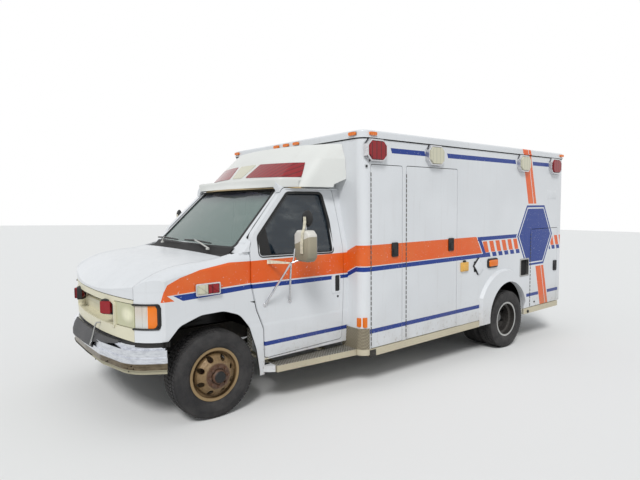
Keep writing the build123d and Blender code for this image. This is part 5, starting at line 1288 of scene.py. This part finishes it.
def build_roof_line():
    """The drip rail under the roof band, and the dark joint below it."""
    def plan(grow):
        return round_rect(BOX_REAR - grow, BOX_FRONT + grow, -BOX_SIDE - grow, BOX_SIDE + grow, CORNER + grow, 8)

    shape = Shape().rim(plan(0.0035), plan(-0.002), "z", 2.378, 2.390, 2.390)
    shape.finish("roof_joint", "wheel_plastic", "Dark Gap", sharp=60)
    shape = Shape().rim(plan(0.013), plan(0.002), "z", 2.389, 2.401, 2.397)
    shape.finish("drip_rail", "body_paint", "Box Paint", sharp=60)


MIRROR_JOINT = (-0.618, 1.204, 1.262)
MIRROR_FEET = [(-0.474, 1.008, 0.891), (-0.736, 1.008, 0.892)]
# middle of the strap up the mirror's front, with its half width
MIRROR_STRAP = [(-0.6585, 1.306, 1.346, 0.017), (-0.6585, 1.307, 1.430, 0.018), (-0.6600, 1.318, 1.520, 0.015),
                (-0.6720, 1.324, 1.560, 0.014), (-0.6860, 1.318, 1.610, 0.017), (-0.6870, 1.316, 1.656, 0.016)]


def build_mirrors():
    """Tall door mirrors on a tube frame, in place of the plain ones."""
    bodies = ("left_cab_door", "right_cab_door")

    def head():
        outline = round_off(chamfered(1.185, 1.395, 1.275, 1.541, 0.036), [0.020] * 8, 3)
        return Shape().prism(outline, "x", -0.760, -0.664, 0.018, 3)

    def glass():
        outline = round_off(chamfered(1.198, 1.382, 1.288, 1.528, 0.030), [0.016] * 8, 3)
        return Shape().prism(outline, "x", -0.762, -0.757)

    def tubes():
        shape = Shape()
        for x, y, z in MIRROR_FEET:
            shape.rod([MIRROR_JOINT, (x, y, z)], 0.009)
            shape.lathe(stud(0.019, 0.006, 0.008, 0.010), (x, 1.006, z), "y", 16)
        shape.rod([(-0.610, 1.210, 1.262), (-0.640, 1.200, 1.268), (-0.655, 1.196, 1.300), (-0.664, 1.196, 1.372),
                   (-0.676, 1.204, 1.392)], 0.0075)
        shape.rod([MIRROR_JOINT, (-0.690, 1.250, 1.290)], 0.007)
        return shape.rod([(-0.700, 1.310, 1.530), (-0.700, 1.316, 1.640)], 0.006)

    def strap():
        rows = [[(x, y - half, z), (x, y + half, z)] for x, y, z, half in MIRROR_STRAP]
        brace = [[(-0.509, 1.004, 1.248), (-0.509, 1.004, 1.282)], [(-0.560, 1.090, 1.252), (-0.560, 1.090, 1.276)],
                 [(-0.616, 1.200, 1.256), (-0.616, 1.200, 1.268)]]
        return Shape().sheet(rows, 0.005).sheet(brace, 0.006)

    def rivets():
        shape = Shape()
        for y, z in ((1.306, 1.366), (1.307, 1.392), (1.317, 1.636)):
            shape.lathe([(0.0, 0.0), (0.006, 0.0), (0.005, 0.003), (0.0, 0.004)], (-0.659 if z < 1.5 else -0.685, y, z),
                        "x", 10)
        return shape

    def spot():
        profile = [(0.0, 0.0), (0.062, 0.0), (0.071, 0.004), (0.071, 0.010), (0.060, 0.020), (0.028, 0.027),
                   (0.0, 0.027)]
        return Shape().lathe(profile, (-0.719, 1.318, 1.640), "x", 32)

    heads = pair(head, "mirror_head", "body_paint", "Mirror Shell", bodies)
    for build, name, slot, finish in (
        (glass, "mirror_glass", "chrome_trim", "Bright Plating"),
        (tubes, "mirror_tubes", "chrome_trim", "Bright Plating"),
        (strap, "mirror_strap", "bright_trim", "Rail Metal"), (rivets, "mirror_rivets", "wheel_plastic", "Dark Gap"),
        (spot, "mirror_spot", "wheel_plastic", "Black Rubber"),
    ):
        pair(build, name, slot, finish, bodies)
    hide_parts("mirror_left")
    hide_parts("mirror_right")


# Tyre profile from the bead outwards, as (radius, distance from the middle)
TYRE_SIDE = [(0.204, 0.080), (0.214, 0.086), (0.222, 0.084), (0.232, 0.096), (0.250, 0.106), (0.262, 0.1065),
             (0.264, 0.1095), (0.292, 0.1115), (0.312, 0.1105),
             (0.314, 0.1085), (0.330, 0.106), (0.340, 0.101), (0.350, 0.096), (0.356, 0.090), (0.3585, 0.080)]
TREAD_BASE = 0.3585
TREAD_TOP = 0.3675
TREAD_STEPS = 72
# columns: middle, half width, slant, share of the pitch
TREAD_ROWS = [(-0.077, 0.017, 0.30, 0.78), (-0.038, 0.015, -0.35, 0.72), (0.0, 0.014, 0.35, 0.72),
              (0.038, 0.015, -0.35, 0.72), (0.077, 0.017, 0.30, 0.78)]


def tyre_shape():
    far_side = [(radius, -across) for radius, across in reversed(TYRE_SIDE)]
    return Shape().lathe(TYRE_SIDE + [(TREAD_BASE, 0.0)] + far_side, (0, 0, 0), "y", 96)


def tread_cell():
    """The blocks of one step round the tyre."""
    shape = Shape()
    pitch = 2 * math.pi / TREAD_STEPS
    for middle, half, slant, share in TREAD_ROWS:
        top = TREAD_TOP if abs(middle) < 0.06 else TREAD_TOP - 0.0035
        ends = []
        for across, along in ((-half, -0.5), (-half, 0.5), (half, 0.5), (half, -0.5)):
            turn = (along * share + slant * across / half * 0.5) * pitch
            y = middle + across
            ends.append([(math.sin(turn) * radius, y, math.cos(turn) * radius)
                         for radius in (TREAD_BASE - 0.004, top - abs(y) * 0.02)])
        shape.hull(ends)
    return shape


# columns: name, body, nodes replaced, axle x, tyre middles, lean in degrees
TYRES = [
    ("front_left", "left_front_wheel", "tyre_front_left", 0.0, (0.877,), -0.4),
    ("front_right", "right_front_wheel", "tyre_front_right", 0.0, (-0.877,), 0.4),
    ("rear_left", "left_rear_wheels", "tyres_rear_left", -WHEELBASE, (0.859, 1.119), 0.0),
    ("rear_right", "right_rear_wheels", "tyres_rear_right", -WHEELBASE, (-0.859, -1.119), 0.0),
]


def build_tyres():
    for name, body, node, x, middles, lean in TYRES:
        for index, y in enumerate(middles):
            place = GROUND @ Matrix.Translation((x, y, AXLE_Z)) @ Matrix.Rotation(math.radians(lean), 4, "X")
            casing = tyre_shape().finish(f"tyre_{name}_{index}", "tyre_rubber", "Tyre Rubber", body, place=place,
                                         sharp=50)
            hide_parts(node)
            repeated(tread_cell(), f"tread_{name}_{index}", "Tyre Rubber", TREAD_STEPS, body,
                     turn=2 * math.pi / TREAD_STEPS, place=place)


def arc_points(first, middle, last, steps):
    """Points on the circle's arc through three points of a plane."""
    (ax, ay), (bx, by), (cx, cy) = first, middle, last
    twice = 2 * (ax * (by - cy) + bx * (cy - ay) + cx * (ay - by))
    a, b, c = ax * ax + ay * ay, bx * bx + by * by, cx * cx + cy * cy
    ux = (a * (by - cy) + b * (cy - ay) + c * (ay - by)) / twice
    uy = (a * (cx - bx) + b * (ax - cx) + c * (bx - ax)) / twice
    radius = math.hypot(ax - ux, ay - uy)
    start, end = math.atan2(ay - uy, ax - ux), math.atan2(cy - uy, cx - ux)
    turns = [start + (end - start) * step / steps for step in range(steps + 1)]
    return [(ux + radius * math.cos(turn), uy + radius * math.sin(turn)) for turn in turns]


def nose_face(y):
    """x of the nose's front at a distance from the middle."""
    return 0.690 - 0.113 * y * y - 0.022 * y ** 4


NOSE_CORNER = arc_points((0.597, 0.850), (0.508, 0.955), (0.380, 1.015), 10)
BUMPER_FACE = [(0.0, 0.752), (0.40, 0.7425), (0.46, 0.735), (0.70, 0.687), (0.862, 0.655)]


def bumper_face(y):
    """x of the bumper's face at a distance from the middle."""
    for (near, x0), (far, x1) in zip(BUMPER_FACE, BUMPER_FACE[1:]):
        if abs(y) <= far:
            return x0 + (x1 - x0) * (abs(y) - near) / (far - near)
    return BUMPER_FACE[-1][1]


LAMP_YAW, LAMP_PLACE = math.radians(32), (0.672, 0.450, 0.945)


def grille_lamp_rim():
    """The dark housing of a grille lamp, open round its lens."""
    wide, tight = (round_rect(-half, half, -half, half, radius) for half, radius in ((0.061, 0.016), (0.0505, 0.013)))
    shape = Shape().rim(wide, tight, "x", -0.040, 0.004, 0.008)
    turn = Matrix.Translation(LAMP_PLACE) @ Matrix.Rotation(LAMP_YAW, 4, "Z")
    bmesh.ops.transform(shape.mesh, matrix=turn, verts=shape.mesh.verts)
    return shape


def turn_lamp_gasket():
    """The thick black joint round a corner lamp."""
    shape = Shape()
    corner = [(x + 0.002, y + 0.002) for x, y in NOSE_CORNER if x > 0.452]
    end_x, end_y = 0.446, 0.990
    top = [(x, y, 1.012) for x, y in corner] + [(end_x + 0.008, end_y, 1.007), (end_x, end_y + 0.003, 0.985)]
    low = [(end_x, end_y + 0.003, 0.855), (end_x + 0.008, end_y, 0.832)] + [(x, y, 0.826) for x, y in reversed(corner)]
    shape.rod([(0.6010, 0.840, 1.010)] + top + low + [(0.6010, 0.840, 0.822)], 0.0075, 10)
    leg = [(end_x + 0.020, end_y - 0.012, 1.006), (end_x + 0.009, end_y - 0.004, 0.980),
           (end_x + 0.009, end_y - 0.004, 0.860), (end_x + 0.020, end_y - 0.012, 0.834)]
    return shape.rod(leg, 0.012, 10)


def bumper_sheet(low_y, high_y, rows, steps=16):
    """A skin that follows the bumper. Rows are (distance behind its face, height) at each end."""
    grid = []
    for low_back, low_z, high_back, high_z in rows:
        line = []
        for share in [step / steps for step in range(steps + 1)]:
            y = low_y + (high_y - low_y) * share
            back = low_back + (high_back - low_back) * share
            line.append((bumper_face(y) - back, y, low_z + (high_z - low_z) * share))
        grid.append(line)
    return Shape().sheet(grid, 0.004)


# Rows of the bumper's worn pad, of its torn end and of the slot below it
PAD_ROWS = [(0.050, 0.704, 0.050, 0.704), (0.034, 0.7045, 0.034, 0.7045), (0.010, 0.662, 0.010, 0.664),
            (-0.007, 0.606, -0.007, 0.612), (-0.0075, 0.562, -0.0075, 0.584), (-0.004, 0.556, -0.004, 0.578)]
TAIL_ROWS = [(0.050, 0.7035, 0.062, 0.699), (0.034, 0.7045, 0.050, 0.701), (0.010, 0.664, 0.041, 0.695),
             (0.000, 0.634, 0.036, 0.686), (0.001, 0.628, 0.035, 0.682)]
SLOT_ROWS = [(0.010, 0.503, 0.010, 0.503), (0.004, 0.5015, 0.004, 0.5015), (0.010, 0.486, 0.010, 0.490),
             (0.022, 0.480, 0.022, 0.486)]


def build_nose_trim():
    """The nose's joints, lamp housings and moulded bar, and the bumper's pad, strap and slots."""
    pair(grille_lamp_rim, "grille_lamp_rim", "wheel_plastic", "Black Rubber")
    pair(turn_lamp_gasket, "turn_lamp_gasket", "wheel_plastic", "Black Rubber")

    # black band between the bumper and the fenders, painted shade in the gap there
    line = [(nose_face(y), y) for y in (0.0, 0.2, 0.4, 0.6, 0.75)] + NOSE_CORNER
    plan = line + [(0.378, 1.012), (0.378, -1.012)] + [(x, -y) for x, y in reversed(line[1:])]
    shape = Shape().rim(grown(plan, -0.014), grown(plan, -0.060), "z", 0.680, 0.724, 0.724)
    shape.finish("bumper_gap_shade", "wheel_plastic", "Black Rubber", sharp=60)

    # recess: dark line along its top, moulded bar on its back
    line = [(nose_face(y) + 0.0005, y, 0.988) for y in [step * 0.05 - 0.55 for step in range(23)]]
    Shape().rod(line, 0.003, 8).finish("grille_line", "wheel_plastic", "Dark Gap")
    shape = Shape().prism(round_rect(-0.460, 0.150, 0.880, 0.922, 0.020), "x", 0.588, 0.612, 0.010, 3)
    shape.finish("grille_bar", "body_paint", "Cream Paint")

    bumper_sheet(-0.50, 0.235, PAD_ROWS).finish("bumper_pad", "wheel_plastic", "Pad Vinyl", sharp=50)
    bumper_sheet(0.235, 0.64, TAIL_ROWS).finish("bumper_pad_tail", "wheel_plastic", "Pad Vinyl", sharp=50)
    strap = [(0.752, 0.222, 0.585), (0.762, 0.222, 0.600), (0.738, 0.236, 0.680), (0.722, 0.250, 0.765),
             (0.712, 0.262, 0.788), (0.690, 0.285, 0.790)]
    Shape().rod(strap, 0.0065, 10).finish("bumper_strap", "bright_trim", "Dull Aluminium")
    shape = bumper_sheet(-0.52, 0.15, SLOT_ROWS)
    for y, z in ((0.30, 0.490), (0.52, 0.520), (0.84, 0.530), (0.86, 0.510)):
        shape.lathe(stud(0.006, 0.004), (bumper_face(y) - 0.0055, y, z), "x", 10)
    shape.finish("bumper_slot", "wheel_plastic", "Dark Gap", sharp=50)


# Rear lamps: middle, height, width, height of the lens
REAR_LAMPS = [("tail", 0.960, 0.560, 0.160, 0.110), ("upper_red", 1.020, 2.255, 0.230, 0.180),
              ("upper_clear", 0.340, 2.290, 0.200, 0.130)]


def build_rear_fittings():
    """Rims of the rear lamps, the rear doors' latches and the bases of the roof's small lamps."""
    for name, y, z, width, height in REAR_LAMPS:
        def rim():
            outer, inner = (
                round_rect(y - width / 2 - grow, y + width / 2 + grow, z - height / 2 - grow, z + height / 2 + grow,
                           radius)
                for grow, radius in ((0.016, 0.030), (-0.003, 0.019))
            )
            return Shape().rim(outer, inner, "x", BACK, BOX_REAR - 0.015, BOX_REAR - 0.017)

        pair(rim, f"rear_rim_{name}", "chrome_trim", "Bright Plating")

    def rear_latch():
        outer, inner = round_rect(0.055, 0.146, 1.290, 1.434, 0.014), round_rect(0.069, 0.132, 1.306, 1.418, 0.010)
        shape = Shape().rim(outer, inner, "x", BACK, BOX_REAR - 0.0125, BOX_REAR - 0.0125)
        shape.prism(inner, "x", BACK, BOX_REAR - 0.0104)
        paddle = round_rect(0.075, 0.126, 1.312, 1.374, 0.006)
        return shape.prism(paddle, "x", BOX_REAR - 0.017, BOX_REAR - 0.009, 0.003)

    pair(rear_latch, "rear_latch", "wheel_plastic", "Black Rubber", ("left_rear_door", "right_rear_door"))

    shape = Shape()
    for y in (-1.100, -0.190, 0.0, 0.190, 1.100):
        for x, way in ((BOX_FRONT, 1), (BOX_REAR, -1)):
            shape.prism(round_rect(y - 0.052, y + 0.052, 2.404, 2.450, 0.016), "x", x - way * 0.002, x + way * 0.0085,
                        0.002)
    shape.finish("roof_lamp_bases", "bright_trim", "Dull Aluminium")


# The pads' sewn edge, as shares of their half depth and half width
PIPING = [(1, -0.9), (1, 0), (1, 0.9), (0.96, 0.98), (0.9, 1), (0, 1), (-0.9, 1), (-0.96, 0.98), (-1, 0.9), (-1, 0),
          (-1, -0.9), (-0.96, -0.98), (-0.9, -1), (0, -1), (0.9, -1), (0.96, -0.98), (1, -0.9)]


def pad_shape(depth, width, thick, crown, channels, steps=28):
    """A crowned closed pad about the origin, pulled in between its corners, with sewn channels across its top."""
    shape = Shape()

    def plan(u, v):
        return depth / 2 * u * (1 - 0.035 * (1 - v * v)), width / 2 * v * (1 - 0.035 * (1 - u * u))

    def at(u, v, top):
        high = ((1 - abs(u) ** 7) * (1 - abs(v) ** 7)) ** (1 / 3)
        if not top:
            return (*plan(u, v), -thick / 2 * high)
        z = thick / 2 * high + crown * (1 - u * u) * (1 - v * v)
        for middle in channels:
            z -= 0.010 * high * math.exp(-((u - middle) / 0.045) ** 2)
        return (*plan(u, v), z)

    def share(index):
        return math.sin((index / steps - 0.5) * math.pi)

    faces = []
    rim = {}
    for top in (True, False):
        grid = []
        for i in range(steps + 1):
            line = []
            for j in range(steps + 1):
                vertex = rim.get((i, j)) or shape.mesh.verts.new(at(share(i), share(j), top))
                if i in (0, steps) or j in (0, steps):
                    rim[i, j] = vertex
                line.append(vertex)
            grid.append(line)
        for first, second in zip(grid, grid[1:]):
            faces += shape.strip(first, second, False)
    shape.turned_out(faces)
    return shape.rod([(*plan(u, v), 0.0) for u, v in PIPING], 0.004, 6)


BENCH_REAR, BENCH_FRONT, BENCH_SPAN = -4.535, -3.050, (-1.178, -0.685)


def build_soft_goods():
    """The cab's two seats, in place of the plain ones, and the bench's pad."""
    for side, way in (("left", 1), ("right", -1)):
        y = 0.560 * way
        seat = LEVEL @ Matrix.Translation((-1.040, y, 1.022))
        cushion = pad_shape(0.458, 0.408, 0.108, 0.012, (-0.45, 0.0, 0.45))
        cushion = cushion.finish(f"seat_cushion_{side}", "cab_vinyl", "Seat Vinyl", place=seat, sharp=70)
        lean = Matrix.Rotation(math.radians(-12), 4, "Y") @ Matrix.Translation((0, 0, 0.310))
        back = LEVEL @ Matrix.Translation((-1.235, y, 1.040)) @ lean @ Matrix.Rotation(math.radians(90), 4, "Y")
        rest = pad_shape(0.615, 0.396, 0.108, 0.010, (-0.5, 0.0, 0.5))
        rest = rest.finish(f"seat_back_{side}", "cab_vinyl", "Seat Vinyl", place=back, sharp=70)
        base = Shape().box(-1.200, -0.860, y - 0.170, y + 0.170, 0.706, 0.975, 0.006)
        base.finish(f"seat_base_{side}", "chassis_black", "Underbody Black")
        if way > 0:
            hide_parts("cab_seats")
    low, high = BENCH_SPAN
    place = LEVEL @ Matrix.Translation(((BENCH_REAR + BENCH_FRONT) / 2, (low + high) / 2, 1.181))
    bench = pad_shape(BENCH_FRONT - BENCH_REAR + 0.016, high - low + 0.016, 0.070, 0.014, (-0.33, 0.33), 32)
    bench.finish("bench_pad", "cab_vinyl", "Bench Vinyl", place=place, sharp=70)


class AmbulanceSettings(bpy.types.PropertyGroup):
    """Sizes and colours that a user would change."""

    paint_white: bpy.props.FloatVectorProperty(name="Body paint", description="Colour of the body's white paint",
                                               subtype="COLOR", size=3, default=WHITE[:3], min=0, max=1)


class AMBULANCE_OT_finishes(bpy.types.Operator):
    """Make the finishes and dress the solids"""

    bl_idname = "ambulance.finishes"
    bl_label = "Finishes"

    def execute(self, context):
        build_materials(context.scene.ambulance)
        dress_nodes()
        return {"FINISHED"}


class AMBULANCE_OT_box(bpy.types.Operator):
    """Fit the box body's latches, hinges, lamp rims and side fittings"""

    bl_idname = "ambulance.box"
    bl_label = "Box fittings"

    def execute(self, context):
        build_latches()
        build_hinges()
        build_lamp_trim()
        build_side_fittings()
        build_reflectors()
        build_roof_line()
        build_rear_fittings()
        return {"FINISHED"}


class AMBULANCE_OT_cab(bpy.types.Operator):
    """Fit the cab's rubbers, handles, wipers, mirrors and lamps"""

    bl_idname = "ambulance.cab"
    bl_label = "Cab fittings"

    def execute(self, context):
        build_door_trim()
        build_windshield_trim()
        build_wipers()
        build_side_lamps()
        build_mirrors()
        build_nose_trim()
        build_soft_goods()
        return {"FINISHED"}


class AMBULANCE_OT_tyres(bpy.types.Operator):
    """Make the treaded tyres"""

    bl_idname = "ambulance.tyres"
    bl_label = "Tyres"

    def execute(self, context):
        build_tyres()
        return {"FINISHED"}


CAMERA_PLACE = (1.8642, 4.6209, 1.6989)
CAMERA_YAW, CAMERA_PITCH, CAMERA_ROLL = -128.97, -3.03, 0.652
CAMERA_LENS, SENSOR_WIDTH = 27.853, 36
WORLD_LEVEL, SUN_LEVEL, SUN_WAY, SUN_SPREAD = 0.56, 2.0, (6.0, 5.5, 8.0), 16
FLOOR_REACH = 60


class AMBULANCE_OT_stage(bpy.types.Operator):
    """Set the floor, the light and the camera"""

    bl_idname = "ambulance.stage"
    bl_label = "Stage"

    def execute(self, context):
        scene = context.scene
        mesh = bpy.data.meshes.new("floor")
        reach = FLOOR_REACH
        mesh.from_pydata([(-reach, -reach, 0), (reach, -reach, 0), (reach, reach, 0), (-reach, reach, 0)], [],
                         [(0, 1, 2, 3)])
        floor = bpy.data.objects.new("floor", mesh)
        scene.collection.objects.link(floor)
        graph, shader, position, level = new_material("Floor Finish")
        graph.fill(shader, Base_Color=colour(0.91, 0.91, 0.905), Roughness=0.95, Specular_IOR_Level=0.1)
        mesh.materials.append(FINISHES["Floor Finish"])

        world = bpy.data.worlds.new("Studio")
        scene.world = world
        world.use_nodes = True
        graph = Graph(world.node_tree)
        back = world.node_tree.nodes["Background"]
        rays = graph.outputs(graph.node("ShaderNodeLightPath"))
        seen = graph.most(rays["Is Camera Ray"], rays["Is Glossy Ray"], rays["Is Transmission Ray"])
        graph.fill(back, Color=graph.mix(seen, (0.94, 0.97, 1.0, 1), (1, 1, 1, 1)),
                   Strength=graph.ramp(seen, 0, 1, WORLD_LEVEL, 1.0, smooth=False))
        sun = bpy.data.lights.new("Sun", "SUN")
        sun.energy = SUN_LEVEL
        sun.angle = math.radians(SUN_SPREAD)
        holder = bpy.data.objects.new("Sun", sun)
        holder.rotation_euler = Vector(SUN_WAY).to_track_quat("Z", "Y").to_euler()
        scene.collection.objects.link(holder)

        yaw, pitch, roll = (math.radians(value) for value in (CAMERA_YAW, CAMERA_PITCH, CAMERA_ROLL))
        ahead = Vector((math.cos(yaw) * math.cos(pitch), math.sin(yaw) * math.cos(pitch), math.sin(pitch)))
        right = ahead.cross(Vector((0, 0, 1))).normalized()
        up = right.cross(ahead)
        right, up = right * math.cos(roll) + up * math.sin(roll), up * math.cos(roll) - right * math.sin(roll)
        camera = bpy.data.objects.new("Camera", bpy.data.cameras.new("Camera"))
        camera.data.lens = CAMERA_LENS
        camera.data.sensor_width = SENSOR_WIDTH
        turn = Matrix((right, up, -ahead)).transposed().to_4x4()
        camera.matrix_world = Matrix.Translation(Vector(CAMERA_PLACE) + Vector((AXLE_X, 0, 0))) @ turn
        scene.collection.objects.link(camera)
        scene.camera = camera
        scene.view_settings.view_transform = "Standard"
        return {"FINISHED"}


class AMBULANCE_PT_panel(bpy.types.Panel):
    """The steps that make the ambulance"""

    bl_label = "Ambulance"
    bl_idname = "AMBULANCE_PT_panel"
    bl_space_type = "VIEW_3D"
    bl_region_type = "UI"
    bl_category = "Ambulance"

    def draw(self, context):
        layout = self.layout
        layout.prop(context.scene.ambulance, "paint_white")
        for step in STEPS:
            layout.operator(step.bl_idname)


STEPS = (AMBULANCE_OT_finishes, AMBULANCE_OT_box, AMBULANCE_OT_cab, AMBULANCE_OT_tyres, AMBULANCE_OT_stage)
CLASSES = (AmbulanceSettings, *STEPS, AMBULANCE_PT_panel)


def register():
    for kind in CLASSES:
        bpy.utils.register_class(kind)
    bpy.types.Scene.ambulance = bpy.props.PointerProperty(type=AmbulanceSettings)


def unregister():
    del bpy.types.Scene.ambulance
    for kind in reversed(CLASSES):
        bpy.utils.unregister_class(kind)


def main():
    register()
    bpy.ops.ambulance.finishes()
    bpy.ops.ambulance.box()
    bpy.ops.ambulance.cab()
    bpy.ops.ambulance.tyres()
    bpy.ops.ambulance.stage()


if __name__ == "__main__":
    main()
